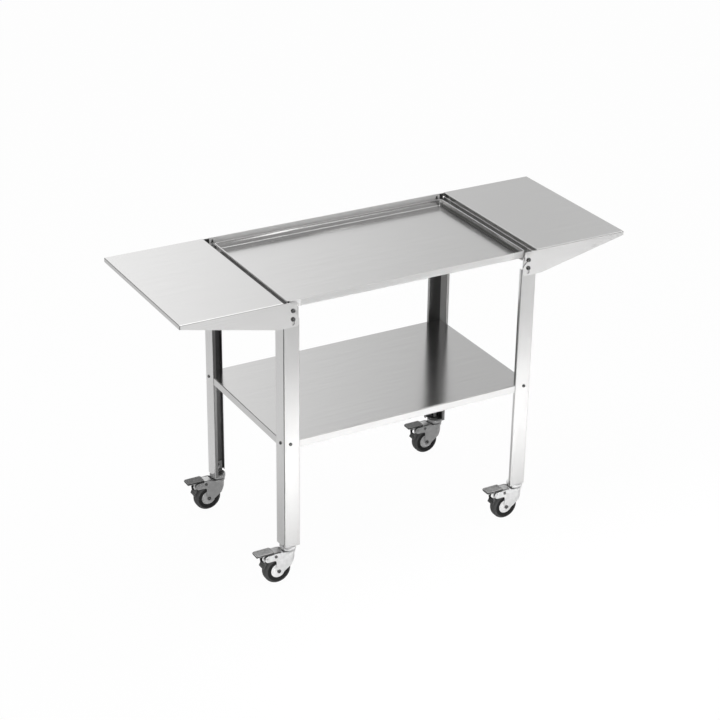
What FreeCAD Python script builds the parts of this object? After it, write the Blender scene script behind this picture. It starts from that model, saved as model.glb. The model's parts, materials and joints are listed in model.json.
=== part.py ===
import FreeCAD, Part
import math
import os

os.makedirs("parts", exist_ok=True)

# Grill cart. Millimetres, X along the length, front at -Y, Z up, floor at Z = 0.

# Overall sizes of the cart
work_height = 840.0
frame_length = 780.0
frame_depth = 488.0
shelf_length = 292.0
lower_shelf_height = 433.0
caster_height = 108.0

# Sheet thicknesses and the inside radius of the folds
leg_sheet = 2.0
rail_sheet = 2.0
shelf_sheet = 1.5
tray_sheet = 1.5
bracket_sheet = 3.0
fold_radius = 1.5

# Legs
leg_flange = 48.0
leg_lip = 10.0
leg_top_drop = 18.0
leg_lip_drop = 35.0
ear_drop = 2.0
ear_margin = 6.0

# Tray
tray_inset = 22.0
tray_shelf_gap = 24.0
tray_rim_drop = 9.0
tray_depth = 20.0
tray_corner = 9.0
tray_bend = 3.0
hem_height = 7.0

# Rails under the tray
rail_web_above_leg = 1.0
rail_bearing = 17.0
rail_end_gap = 2.5
rail_flange_end = 15.0
rear_rail_end = 18.5
rear_rail_flange_end = 45.0

# Lower shelf
lower_lip = 22.0
lower_corner = 4.0
lower_bend = 2.5
lower_screw_drop = 7.0
lower_screw_inset = 20.0
notch_gap = 0.5

# Side shelves
shelf_flange = 12.0
shelf_bend = 2.5
shelf_over_leg = 2.0
shelf_side_gap = 0.3
gusset_depth = 72.0
gusset_flat_end = 14.0
lug_reach = 40.0
tab_reach = 45.0
tab_top_drop = 36.0

# Shelf hinge: pivot bolt below, lock bolt above
pivot_inset = 28.0
pivot_drop = 50.0
lock_spacing = 24.0
shelf_lift = 13.0
fold_turn = 90.0
hinge_radius = 3.0
hinge_head_radius = 5.5
hinge_head_height = 3.3
washer_radius = 6.0
washer_sheet = 1.0
bush_radius = 4.0
hinge_nut_flats = 10.0
hinge_nut_height = 9.0
hinge_nut_hex = 5.0

# Small fasteners: M5 screws, studs and nuts, and the rail rivets
small_radius = 2.5
small_head_radius = 4.75
small_head_height = 2.75
small_nut_flats = 8.0
small_nut_height = 4.0
stud_end = 1.0
rivet_radius = 2.0
rivet_head_radius = 3.6
rivet_head_height = 1.4
rivet_margin = 12.0
rivet_drop = 6.0
rear_screw_drop = 10.0
tray_stud_inset = 8.5
tray_stud_spread = 150.0

# Clearances between pieces
hole_gap = 0.2
thread_gap = 0.02
running_gap = 0.05
slot_gap = 0.1
lock_gap = 0.35
bush_end_gap = 0.05

# Caster brackets
bracket_start = 2.2
bracket_reach = 42.0
bracket_height = 28.0
stud_height = 18.0
stud_first = 13.0
stud_pitch = 15.0
bracket_cut_x = 19.0
bracket_cut_y = 36.0
bracket_end_gap = 6.0

# Casters: wheel, fork, swivel head
swivel_inset = 20.0
caster_trail = 36.0
wheel_radius = 40.0
tyre_half = 14.0
tyre_shoulder = 3.0
bead_radius = 21.5
rim_radius = 24.0
rim_half = 12.0
hub_half = 15.2
boss_radius = 9.0
axle_radius = 4.0
axle_head_radius = 5.5
axle_head_height = 3.0
axle_nut_flats = 13.0
axle_nut_height = 6.5
cheek_gap = 0.5
fork_sheet = 2.5
crown_drop = 14.0
crown_radius = 21.0
crown_rim = 7.0
lobe_radius = 9.5
lobe_left = 7.0
heel_reach = 40.0
heel_rise = 13.0
shoulder_drop = 14.0
cheek_rise = 2.5
head_radius = 23.0
head_thickness = 10.5
kingpin_radius = 6.0
kingpin_head_radius = 9.0
kingpin_head_height = 4.0
swivel_gap = 0.3
ball_radius = 3.0
ball_pitch_radius = 14.5
ball_gap = 0.1
ball_count = 11
stem_radius = 5.0
stem_length = 22.0
stem_nut_flats = 16.0
stem_nut_height = 8.0

# Caster brake: rocker lever on a pin through the fork's nose
nose_reach = 31.0
nose_rise = 46.0
nose_radius = 10.0
pin_radius = 3.0
pin_head_radius = 4.5
pin_head_height = 1.5
spring_post_reach = 8.5
spring_post_rise = 48.5
lever_sheet = 2.0
lever_half = 13.0
lever_drop = 12.5
lever_end_gap = 3.0
lever_dip = 1.0
lever_bend_reach = 16.0
pedal_inner = 12.5
pedal_outer = 65.5
pedal_half = 15.0
pedal_thickness = 5.5
pedal_grooves = 5
pedal_margin = 2.5
groove_width = 2.4
groove_depth = 1.2
shoe_gap = 5.0
shoe_thickness = 4.0
shoe_from = 141.0
shoe_to = 161.0
ear_reach = 15.0


# Faces and solids that the pieces are made from
def vec(x, y, z):
    return FreeCAD.Vector(x, y, z)


def flat(a, b):
    return FreeCAD.Vector(a, b, 0.0)


def in_plan(level):
    return lambda p: vec(p.x, p.y, level)


def seen_from_front(depth):
    return lambda p: vec(p.x, depth, p.y)


def seen_from_end(along):
    return lambda p: vec(along, p.x, p.y)


def unit(v):
    return v.multiply(1.0 / v.Length)


def block(x_low, x_high, y_low, y_high, z_low, z_high):
    corner = vec(x_low, y_low, z_low)
    return Part.makeBox(x_high - x_low, y_high - y_low, z_high - z_low, corner)


def rod(radius, start, end):
    way = end.sub(start)
    return Part.makeCylinder(radius, way.Length, start, way)


def rounded_face(points, radii, place):
    # A closed outline with an arc of the given radius at each corner
    count = len(points)
    entries = []
    middles = []
    leaves = []
    for index in range(count):
        corner = points[index]
        radius = radii[index]
        if radius <= 0.0:
            entries.append(corner)
            middles.append(None)
            leaves.append(corner)
            continue
        back = unit(points[index - 1].sub(corner))
        ahead = unit(points[(index + 1) % count].sub(corner))
        half = 0.5 * math.acos(max(-1.0, min(1.0, back.dot(ahead))))
        reach = radius / math.tan(half)
        inward = unit(back.add(ahead))
        entries.append(corner + back * reach)
        leaves.append(corner + ahead * reach)
        middles.append(corner + inward * (radius / math.sin(half) - radius))
    edges = []
    for index in range(count):
        if middles[index] is not None:
            arc = Part.Arc(place(entries[index]), place(middles[index]), place(leaves[index]))
            edges.append(arc.toShape())
        start = leaves[index]
        end = entries[(index + 1) % count]
        if start.distanceToPoint(end) > 1e-6:
            edges.append(Part.makeLine(place(start), place(end)))
    return Part.Face(Part.Wire(edges))


def prism(points, radii, place, push):
    return rounded_face(points, radii, place).extrude(push)


def folded_strip(path, sheet, radius):
    # Outline of a folded sheet lying on the left of the path
    near = []
    far = []
    near_radii = []
    far_radii = []
    for index, corner in enumerate(path):
        ways = []
        if index > 0:
            ways.append(unit(corner.sub(path[index - 1])))
        if index < len(path) - 1:
            ways.append(unit(path[index + 1].sub(corner)))
        lefts = [flat(-way.y, way.x) for way in ways]
        near.append(corner)
        if len(ways) == 1:
            far.append(corner + lefts[0] * sheet)
            near_radii.append(0.0)
            far_radii.append(0.0)
            continue
        share = sheet / (1.0 + lefts[0].dot(lefts[1]))
        far.append(corner + (lefts[0] + lefts[1]) * share)
        turns_left = ways[0].x * ways[1].y - ways[0].y * ways[1].x > 0.0
        near_radii.append(radius + sheet if turns_left else radius)
        far_radii.append(radius if turns_left else radius + sheet)
    return near + far[::-1], near_radii + far_radii[::-1]


def lathe(points, radii, origin, axis):
    # Points give the distance from the axis and the distance along it
    helper = vec(1, 0, 0) if abs(axis.x) < 0.5 else vec(0, 1, 0)
    side = unit(axis.cross(helper))
    face = rounded_face(points, radii, lambda p: origin + side * p.x + axis * p.y)
    return face.revolve(origin, axis, 360.0)


def hexagon(flats, start, axis, length):
    helper = vec(1, 0, 0) if abs(axis.x) < 0.5 else vec(0, 1, 0)
    side = unit(axis.cross(helper))
    other = axis.cross(side)
    radius = flats / math.sqrt(3.0)
    corners = []
    for step in range(7):
        turn = math.radians(60.0 * step)
        corners.append(start + side * (radius * math.cos(turn)) + other * (radius * math.sin(turn)))
    return Part.Face(Part.makePolygon(corners)).extrude(axis * length)


def nut(flats, height, bore, seat, axis):
    body = hexagon(flats, seat, axis, height)
    crown = lathe(
        [flat(0, 0), flat(0.62 * flats, 0), flat(0.62 * flats, 0.75 * height), flat(0.46 * flats, height),
         flat(0, height)],
        [0, 0, 0, 0, 0], seat, axis)
    return body.common(crown).cut(rod(bore, seat - axis, seat + axis * (height + 1.0)))


def domed_nut(seat, axis):
    skirt = hexagon(hinge_nut_flats, seat, axis, hinge_nut_hex)
    radius = 0.48 * hinge_nut_flats
    dome = lathe(
        [flat(0, 0), flat(radius, 0), flat(radius, hinge_nut_height), flat(0, hinge_nut_height)],
        [0, 0, 0.8 * radius, 0], seat, axis)
    bore = rod(hinge_radius + thread_gap, seat - axis, seat + axis * (0.8 * hinge_nut_height))
    return skirt.fuse(dome).removeSplitter().cut(bore)


def button_screw(radius, head_radius_used, head_height, length, seat, axis):
    # The seat is under the head, the axis points out of the head
    tip = 0.25 * radius
    body = lathe(
        [flat(0, -length), flat(radius - tip, -length), flat(radius, tip - length), flat(radius, 0),
         flat(head_radius_used, 0), flat(head_radius_used, head_height), flat(0, head_height)],
        [0, 0, 0, 0, 0, 0.75 * head_height, 0], seat, axis)
    depth = 0.6 * head_height
    socket = hexagon(1.3 * radius, seat + axis * (head_height - depth), axis, head_height)
    return body.cut(socket)


def flip(shape, side_x, side_y):
    if side_x < 0:
        shape = shape.mirror(vec(0, 0, 0), vec(1, 0, 0))
    if side_y < 0:
        shape = shape.mirror(vec(0, 0, 0), vec(0, 1, 0))
    return shape


def level_edges(shape, level):
    return [edge for edge in shape.Edges
            if all(abs(vertex.Z - level) < 1e-6 for vertex in edge.Vertexes)]


def pan(half_x, half_y, floor, rim, sheet, corner, bend):
    # An open box of thin sheet; the floor may lie above or below the rim
    up = 1.0 if rim > floor else -1.0

    def shell(inset, level, end):
        x = half_x - inset
        y = half_y - inset
        radius = max(corner - inset, 0.3)
        outline = [flat(-x, -y), flat(x, -y), flat(x, y), flat(-x, y)]
        body = prism(outline, [radius] * 4, in_plan(level), vec(0, 0, end - level))
        return body.makeFillet(max(bend - inset, 0.3), level_edges(body, level))

    return shell(0.0, floor, rim).cut(shell(sheet, floor + up * sheet, rim + up * sheet))


def save(name, shape):
    for solid in shape.Solids:
        if not solid.isValid() or not solid.isClosed() or solid.Volume <= 0.0:
            print("bad solid in", name)
    shape.exportStep("parts/" + name + ".step")
    print(name, len(shape.Solids), "solids", round(shape.Volume / 1000.0, 2), "cm3")


# Places that several pieces share
half_length = 0.5 * frame_length
half_depth = 0.5 * frame_depth
leg_inner_x = half_length - leg_sheet
leg_inner_y = half_depth - leg_sheet
leg_edge_x = half_length - leg_flange
leg_edge_y = half_depth - leg_flange
leg_top = work_height - leg_top_drop
tray_rim = work_height - tray_rim_drop
tray_under = tray_rim - tray_depth
rail_under = tray_under - rail_sheet
tray_half_x = half_length - tray_shelf_gap
tray_half_y = half_depth - tray_inset
hinge_x = half_length - pivot_inset
pivot_z = work_height - pivot_drop
lock_z = pivot_z + lock_spacing
lower_screw_z = lower_shelf_height - lower_screw_drop
lower_screw_x = half_length - lower_screw_inset
lower_screw_y = half_depth - lower_screw_inset
rear_screw_z = work_height - rear_screw_drop
rivet_z = leg_top - rivet_drop
rivet_places = [leg_edge_y + rivet_margin, half_depth - rivet_margin]
stud_z = caster_height + stud_height
stud_places = [half_length - stud_first, half_length - stud_first - stud_pitch]
swivel_x = half_length - swivel_inset
swivel_y = half_depth - swivel_inset
tray_stud_x = tray_half_x - tray_stud_inset
tray_stud_y = tray_half_y - tray_stud_inset
gusset_inner = half_depth + shelf_side_gap
gusset_outer = gusset_inner + shelf_sheet
washer_seat = gusset_outer + shelf_side_gap
sides = {"front_left": (-1, -1), "front_right": (1, -1), "rear_left": (-1, 1), "rear_right": (1, 1)}


# Legs: folded angles with return lips, weld studs for the caster bracket
def make_leg(rear):
    lipped_path = [
        flat(half_length - leg_lip, leg_edge_y), flat(half_length, leg_edge_y), flat(half_length, half_depth),
        flat(leg_edge_x, half_depth), flat(leg_edge_x, half_depth - leg_lip)]
    plain_path = lipped_path[1:4]
    lipped_points, lipped_radii = folded_strip(lipped_path, leg_sheet, fold_radius)
    plain_points, plain_radii = folded_strip(plain_path, leg_sheet, fold_radius)
    base = in_plan(caster_height)
    lipped = prism(lipped_points, lipped_radii, base, vec(0, 0, leg_top - leg_lip_drop - caster_height))
    # The plain angle starts beyond the rounded folds of the lips
    shy = fold_radius + leg_sheet
    plain_points = [flat(min(max(p.x, leg_edge_x + shy), half_length), max(p.y, leg_edge_y + shy))
                    for p in plain_points]
    plain = prism(plain_points, plain_radii, base, vec(0, 0, leg_top - caster_height))
    leg = lipped.fuse(plain)
    if rear:
        ear = block(leg_edge_x + shy, half_length - ear_margin, leg_inner_y, half_depth,
                    leg_top - leg_lip_drop, work_height - ear_drop)
        leg = leg.fuse(ear)
    for x in stud_places:
        inner = leg_inner_y - bracket_sheet - small_nut_height - stud_end
        leg = leg.fuse(rod(small_radius, vec(x, leg_inner_y, stud_z), vec(x, inner, stud_z)))
    leg = leg.removeSplitter()
    through_y = [(hinge_x, pivot_z, hinge_radius + hole_gap), (hinge_x, lock_z, hinge_radius + hole_gap),
                 (lower_screw_x, lower_screw_z, small_radius + hole_gap)]
    if rear:
        through_y.append((hinge_x, rear_screw_z, small_radius + thread_gap))
    for x, z, radius in through_y:
        leg = leg.cut(rod(radius, vec(x, leg_inner_y - 1.0, z), vec(x, half_depth + 1.0, z)))
    through_x = [(lower_screw_y, lower_screw_z, small_radius + hole_gap)]
    through_x += [(y, rivet_z, rivet_radius + thread_gap) for y in rivet_places]
    for y, z, radius in through_x:
        leg = leg.cut(rod(radius, vec(leg_inner_x - 1.0, y, z), vec(half_length + 1.0, y, z)))
    return leg


for corner, (side_x, side_y) in sides.items():
    save(corner + "_leg", flip(make_leg(side_y > 0), side_x, side_y))


# Caster brackets: a base plate with a cut corner and two upturned flanges inside the leg's foot
def make_bracket():
    low_x = half_length - bracket_reach
    high_x = half_length - bracket_start
    low_y = half_depth - bracket_reach
    high_y = leg_inner_y
    top = caster_height + bracket_height
    margin = fold_radius + leg_sheet
    shy_y = high_y - 0.5 * bracket_sheet
    outline = [flat(low_x + bracket_cut_x, low_y), flat(high_x, low_y), flat(high_x, shy_y), flat(low_x, shy_y),
               flat(low_x, low_y + bracket_cut_y)]
    base = prism(outline, [fold_radius, 0, 0, 0, 0], in_plan(caster_height), vec(0, 0, bracket_sheet))
    leg_side = block(low_x, high_x - margin, high_y - bracket_sheet, high_y, caster_height, top)
    end_side = block(leg_inner_x - bracket_sheet, leg_inner_x, low_y + bracket_end_gap, high_y - margin,
                     caster_height, top)
    bracket = base.fuse([leg_side, end_side])
    corner_cut = block(high_x - margin, half_length, high_y - margin, half_depth,
                       caster_height - 1.0, top + 1.0)
    bracket = bracket.cut(corner_cut).removeSplitter()
    stem = vec(swivel_x, swivel_y, caster_height - 1.0)
    bracket = bracket.cut(rod(stem_radius + hole_gap, stem, stem + vec(0, 0, bracket_sheet + 2.0)))
    for x in stud_places:
        start = vec(x, high_y - bracket_sheet - 1.0, stud_z)
        bracket = bracket.cut(rod(small_radius + hole_gap, start, vec(x, high_y + 1.0, stud_z)))
    return bracket


small_nuts = []
stem_nuts = []
for corner, (side_x, side_y) in sides.items():
    save(corner + "_caster_bracket", flip(make_bracket(), side_x, side_y))
    for x in stud_places:
        seat = vec(x, leg_inner_y - bracket_sheet, stud_z)
        piece = nut(small_nut_flats, small_nut_height, small_radius + thread_gap, seat, vec(0, -1, 0))
        small_nuts.append(flip(piece, side_x, side_y))
    seat = vec(swivel_x, swivel_y, caster_height + bracket_sheet)
    piece = nut(stem_nut_flats, stem_nut_height, stem_radius + thread_gap, seat, vec(0, 0, 1))
    stem_nuts.append(flip(piece, side_x, side_y))
save("stem_nuts", Part.makeCompound(stem_nuts))

# Lower shelf: a sheet with down-turned lips, notched round the legs' return lips
lower_shelf = pan(leg_inner_x, leg_inner_y, lower_shelf_height, lower_shelf_height - lower_lip,
                  shelf_sheet, lower_corner, lower_bend)
notch_low = lower_shelf_height - lower_lip - 1.0
notch_high = lower_shelf_height + 1.0
notch_wide = leg_sheet + fold_radius + notch_gap
notch_deep = leg_lip + notch_gap
screws = []
for corner, (side_x, side_y) in sides.items():
    end_notch = block(leg_edge_x - notch_gap, leg_edge_x + notch_wide,
                      half_depth - notch_deep, half_depth, notch_low, notch_high)
    side_notch = block(half_length - notch_deep, half_length,
                       leg_edge_y - notch_gap, leg_edge_y + notch_wide, notch_low, notch_high)
    radius = small_radius + hole_gap
    end_hole = rod(radius, vec(lower_screw_x, leg_inner_y - 5.0, lower_screw_z),
                   vec(lower_screw_x, half_depth, lower_screw_z))
    side_hole = rod(radius, vec(leg_inner_x - 5.0, lower_screw_y, lower_screw_z),
                    vec(half_length, lower_screw_y, lower_screw_z))
    for cutter in (end_notch, side_notch, end_hole, side_hole):
        lower_shelf = lower_shelf.cut(flip(cutter, side_x, side_y))
    stack = leg_sheet + shelf_sheet
    length = stack + small_nut_height + stud_end
    for face, axis in ((vec(lower_screw_x, half_depth, lower_screw_z), vec(0, 1, 0)),
                       (vec(half_length, lower_screw_y, lower_screw_z), vec(1, 0, 0))):
        screw = button_screw(small_radius, small_head_radius, small_head_height, length, face, axis)
        screws.append(flip(screw, side_x, side_y))
        seat = face - axis * stack
        piece = nut(small_nut_flats, small_nut_height, small_radius + thread_gap, seat, axis * -1.0)
        small_nuts.append(flip(piece, side_x, side_y))
save("lower_shelf", lower_shelf)
save("lower_shelf_screws", Part.makeCompound(screws))


# Side rails: angles on the legs' side flanges, their lower flange carries the tray
def make_side_rail():
    flange_x = tray_half_x - rail_bearing
    web_end = leg_inner_y - rail_end_gap
    web_top = leg_top + rail_web_above_leg
    flange_end = half_depth - rail_flange_end
    path = [flat(flange_x, rail_under), flat(leg_inner_x, rail_under), flat(leg_inner_x, web_top)]
    points, radii = folded_strip(path, rail_sheet, fold_radius)
    rail = prism(points, radii, seen_from_front(-flange_end), vec(0, 2.0 * flange_end, 0))
    low = rail_under + rail_sheet + fold_radius
    web = block(leg_inner_x - rail_sheet, leg_inner_x, -web_end, web_end, low, web_top)
    rail = rail.fuse(web).removeSplitter()
    for y in rivet_places:
        for side in (-1, 1):
            start = vec(leg_inner_x - rail_sheet - 1.0, side * y, rivet_z)
            rail = rail.cut(rod(rivet_radius + thread_gap, start, vec(half_length, side * y, rivet_z)))
    for side in (-1, 1):
        start = vec(tray_stud_x, side * tray_stud_spread, rail_under - 1.0)
        rail = rail.cut(rod(small_radius + hole_gap, start, start + vec(0, 0, rail_sheet + 2.0)))
    return rail


def make_rivet(y):
    grip = leg_sheet + rail_sheet
    start = vec(half_length, y, rivet_z)
    return lathe(
        [flat(0, -grip - rivet_head_height), flat(rivet_head_radius, -grip - rivet_head_height),
         flat(rivet_head_radius, -grip), flat(rivet_radius, -grip), flat(rivet_radius, 0),
         flat(rivet_head_radius, 0), flat(rivet_head_radius, rivet_head_height), flat(0, rivet_head_height)],
        [0, 0.5 * rivet_head_height, 0, 0, 0, 0, 0.7 * rivet_head_height, 0], start, vec(1, 0, 0))


rivets = []
for name, side_x in (("left", -1), ("right", 1)):
    save(name + "_side_rail", flip(make_side_rail(), side_x, 1))
    for y in rivet_places:
        for side_y in (-1, 1):
            rivets.append(flip(make_rivet(y), side_x, side_y))
save("rail_rivets", Part.makeCompound(rivets))

# Rear rail: a taller angle between the rear legs, level with the side shelves
rear_flange_y = tray_half_y - rail_bearing
rear_half = half_length - rear_rail_end
rear_flange_half = half_length - rear_rail_flange_end
rear_path = [flat(rear_flange_y, rail_under), flat(leg_inner_y, rail_under), flat(leg_inner_y, work_height)]
rear_points, rear_radii = folded_strip(rear_path, rail_sheet, fold_radius)
rear_rail = prism(rear_points, rear_radii, seen_from_end(-rear_flange_half), vec(2.0 * rear_flange_half, 0, 0))
rear_low = rail_under + rail_sheet + fold_radius
rear_web = block(-rear_half, rear_half, leg_inner_y - rail_sheet, leg_inner_y, rear_low, work_height)
rear_rail = rear_rail.fuse(rear_web).removeSplitter()
rear_screws = []
for side in (-1, 1):
    for z, radius in ((lock_z, hinge_radius + hole_gap), (rear_screw_z, small_radius + hole_gap)):
        start = vec(side * hinge_x, leg_inner_y - rail_sheet - 1.0, z)
        rear_rail = rear_rail.cut(rod(radius, start, vec(side * hinge_x, half_depth, z)))
    start = vec(side * tray_stud_spread, tray_stud_y, rail_under - 1.0)
    rear_rail = rear_rail.cut(rod(small_radius + hole_gap, start, start + vec(0, 0, rail_sheet + 2.0)))
    seat = vec(side * hinge_x, leg_inner_y - rail_sheet, rear_screw_z)
    grip = rail_sheet + leg_sheet - hole_gap
    rear_screws.append(
        button_screw(small_radius, small_head_radius, small_head_height, grip, seat, vec(0, -1, 0)))
save("rear_rail", rear_rail)
save("rear_rail_screws", Part.makeCompound(rear_screws))

# Tray: a shallow pan with a hemmed rim, held by weld studs through the rails
tray = pan(tray_half_x, tray_half_y, tray_under, tray_rim, tray_sheet, tray_corner, tray_bend)


def hem_outline(inset):
    x = tray_half_x - inset
    y = tray_half_y - inset
    outline = [flat(-x, -y), flat(x, -y), flat(x, y), flat(-x, y)]
    return prism(outline, [tray_corner - inset] * 4, in_plan(tray_rim - hem_height), vec(0, 0, hem_height))


tray = tray.fuse(hem_outline(tray_sheet).cut(hem_outline(2.0 * tray_sheet))).removeSplitter()
tray_stud_places = []
for side in (-1, 1):
    tray_stud_places.append(vec(-tray_stud_x, side * tray_stud_spread, tray_under))
    tray_stud_places.append(vec(tray_stud_x, side * tray_stud_spread, tray_under))
    tray_stud_places.append(vec(side * tray_stud_spread, tray_stud_y, tray_under))
for place in tray_stud_places:
    reach = rail_sheet + small_nut_height + stud_end
    tray = tray.fuse(rod(small_radius, place, place - vec(0, 0, reach)))
    seat = place - vec(0, 0, rail_sheet)
    small_nuts.append(nut(small_nut_flats, small_nut_height, small_radius + thread_gap, seat, vec(0, 0, -1)))
save("tray", tray.removeSplitter())
save("small_nuts", Part.makeCompound(small_nuts))


# Side shelf: one folded sheet with a tapered gusset outside the legs at the front and the rear
def lock_place(share):
    # Where the lock bolt stands, seen from the shelf, as it lifts and folds
    turn = math.radians(fold_turn * share)
    pivot = flat(hinge_x, pivot_z - shelf_lift * share)
    return pivot + flat(-lock_spacing * math.sin(turn), lock_spacing * math.cos(turn))


def curved_slot(first, middle, last, half):
    # A slot of even width along the arc through three places, with round ends
    circle = Part.Circle(vec(first.x, 0, first.y), vec(middle.x, 0, middle.y), vec(last.x, 0, last.y))
    centre = flat(circle.Center.x, circle.Center.z)

    def at(place, shift):
        way = unit(place.sub(centre))
        point = centre + way * (circle.Radius + shift)
        return vec(point.x, gusset_inner - 1.0, point.y)

    outer = Part.Arc(at(first, half), at(middle, half), at(last, half)).toShape()
    inner = Part.Arc(at(last, -half), at(middle, -half), at(first, -half)).toShape()
    closing = [Part.makeLine(at(last, half), at(last, -half)), Part.makeLine(at(first, -half), at(first, half))]
    band = Part.Face(Part.Wire([outer, closing[0], inner, closing[1]]))
    push = vec(0, shelf_sheet + 2.0, 0)
    slot = band.extrude(push)
    for place in (first, last):
        start = at(place, 0.0)
        slot = slot.fuse(rod(half, start, start + push))
    return slot


def make_gusset():
    inner_edge = half_length - shelf_over_leg
    outer_edge = inner_edge + shelf_length
    lug_x = half_length - lug_reach
    tab_x = half_length - tab_reach
    low = work_height - gusset_depth
    flange_low = work_height - shelf_flange
    step = work_height - tab_top_drop
    # The flange of the shelf itself makes the strip above and beyond this outline
    top = work_height - shelf_bend
    outline = [flat(tab_x, low), flat(half_length + gusset_flat_end, low),
               flat(outer_edge - shelf_bend, flange_low), flat(outer_edge - shelf_bend, top),
               flat(lug_x, top), flat(lug_x, step), flat(tab_x, step)]
    radii = [8.0, 14.0, 0.0, 0.0, 4.0, 0.0, 0.0]
    gusset = prism(outline, radii, seen_from_front(gusset_inner), vec(0, shelf_sheet, 0))
    half = bush_radius + slot_gap
    start_y = gusset_inner - 1.0
    push = vec(0, shelf_sheet + 2.0, 0)
    ends = [pivot_z, pivot_z - shelf_lift]
    pivot_slot = block(hinge_x - half, hinge_x + half, start_y, start_y + push.y, ends[1], ends[0])
    for z in ends:
        start = vec(hinge_x, start_y, z)
        pivot_slot = pivot_slot.fuse(rod(half, start, start + push))
    lock_slot = curved_slot(lock_place(0.0), lock_place(0.35), lock_place(0.7), bush_radius + lock_gap)
    return gusset.cut(pivot_slot.removeSplitter()).cut(lock_slot.removeSplitter())


def make_side_shelf():
    inner_edge = half_length - shelf_over_leg
    middle = inner_edge + 0.5 * shelf_length
    flange_low = work_height - shelf_flange
    top = pan(0.5 * shelf_length, gusset_outer, work_height, flange_low, shelf_sheet, shelf_bend, shelf_bend)
    top.translate(vec(middle, 0, 0))
    gusset = make_gusset()
    return top.fuse([gusset, flip(gusset, 1, -1)]).removeSplitter()


right_shelf = make_side_shelf()
save("right_side_shelf", right_shelf)
save("left_side_shelf", flip(right_shelf, -1, 1))


# Hinge hardware: bolts from the outside, bushes in the slots, washers and domed nuts
def make_bush(end_gap):
    start = vec(hinge_x, half_depth + end_gap, 0)
    end = vec(hinge_x, washer_seat - end_gap, 0)
    bush = rod(bush_radius, start, end)
    return bush.cut(rod(hinge_radius + running_gap, start - vec(0, 1, 0), end + vec(0, 1, 0)))


def make_hinge_bolt(stack):
    length = washer_seat + washer_sheet - half_depth + stack + 0.7 * hinge_nut_height
    seat = vec(hinge_x, washer_seat + washer_sheet, 0)
    return button_screw(hinge_radius, hinge_head_radius, hinge_head_height, length, seat, vec(0, 1, 0))


def make_washer():
    start = vec(hinge_x, washer_seat, 0)
    end = start + vec(0, washer_sheet, 0)
    washer = rod(washer_radius, start, end)
    return washer.cut(rod(hinge_radius + hole_gap, start - vec(0, 1, 0), end + vec(0, 1, 0)))


def raised(shape, level, side_x, side_y):
    copy = shape.copy()
    copy.translate(vec(0, 0, level))
    return flip(copy, side_x, side_y)


pivot_bolts = []
lock_bolts = []
lock_bushes = []
washers = []
hinge_nuts = []
pivot_bushes = {-1: [], 1: []}
for corner, (side_x, side_y) in sides.items():
    lock_stack = leg_sheet + (rail_sheet if side_y > 0 else 0.0)
    for level, stack, bolts in ((pivot_z, leg_sheet, pivot_bolts), (lock_z, lock_stack, lock_bolts)):
        bolts.append(raised(make_hinge_bolt(stack), level, side_x, side_y))
        washers.append(raised(make_washer(), level, side_x, side_y))
        cap = domed_nut(vec(hinge_x, half_depth - stack, 0), vec(0, -1, 0))
        hinge_nuts.append(raised(cap, level, side_x, side_y))
    lock_bushes.append(raised(make_bush(0.0), lock_z, side_x, side_y))
    pivot_bushes[side_x].append(raised(make_bush(bush_end_gap), pivot_z, side_x, side_y))
save("pivot_bolts", Part.makeCompound(pivot_bolts))
save("lock_bolts", Part.makeCompound(lock_bolts))
save("lock_bushes", Part.makeCompound(lock_bushes))
save("hinge_washers", Part.makeCompound(washers))
save("hinge_nuts", Part.makeCompound(hinge_nuts))
save("left_pivot_bushes", Part.makeCompound(pivot_bushes[-1]))
save("right_pivot_bushes", Part.makeCompound(pivot_bushes[1]))

# Caster, drawn round its swivel axis with the wheel trailing towards -X
crown_top = caster_height - crown_drop
crown_under = crown_top - fork_sheet
head_under = caster_height - head_thickness
cheek_inner = hub_half + cheek_gap
cheek_outer = cheek_inner + fork_sheet
axle_x = -caster_trail
axle_z = wheel_radius
pin_x = axle_x - nose_reach
pin_z = axle_z + nose_rise
ball_z = 0.5 * (crown_top + head_under)
along_y = vec(0, 1, 0)


def ball_groove():
    return Part.makeTorus(ball_pitch_radius, ball_radius + ball_gap, vec(0, 0, ball_z))


def make_swivel_head():
    pin_head_top = crown_under - swivel_gap
    pin_low = pin_head_top - kingpin_head_height
    stem_top = caster_height + stem_length
    points = [flat(0, pin_low), flat(kingpin_head_radius, pin_low), flat(kingpin_head_radius, pin_head_top),
              flat(kingpin_radius, pin_head_top), flat(kingpin_radius, head_under), flat(head_radius, head_under),
              flat(head_radius, caster_height), flat(stem_radius, caster_height), flat(stem_radius, stem_top),
              flat(0, stem_top)]
    radii = [0, 1.5, 0, 0, 0, 1.5, 3.0, 0, 1.0, 0]
    return lathe(points, radii, vec(0, 0, 0), vec(0, 0, 1)).cut(ball_groove())


def make_balls():
    balls = []
    for step in range(ball_count):
        turn = 2.0 * math.pi * step / ball_count
        place = vec(ball_pitch_radius * math.cos(turn), ball_pitch_radius * math.sin(turn), ball_z)
        balls.append(Part.makeSphere(ball_radius, place))
    return Part.makeCompound(balls)


def across(radius, x, z, half):
    return rod(radius, vec(x, -half, z), vec(x, half, z))


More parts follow.
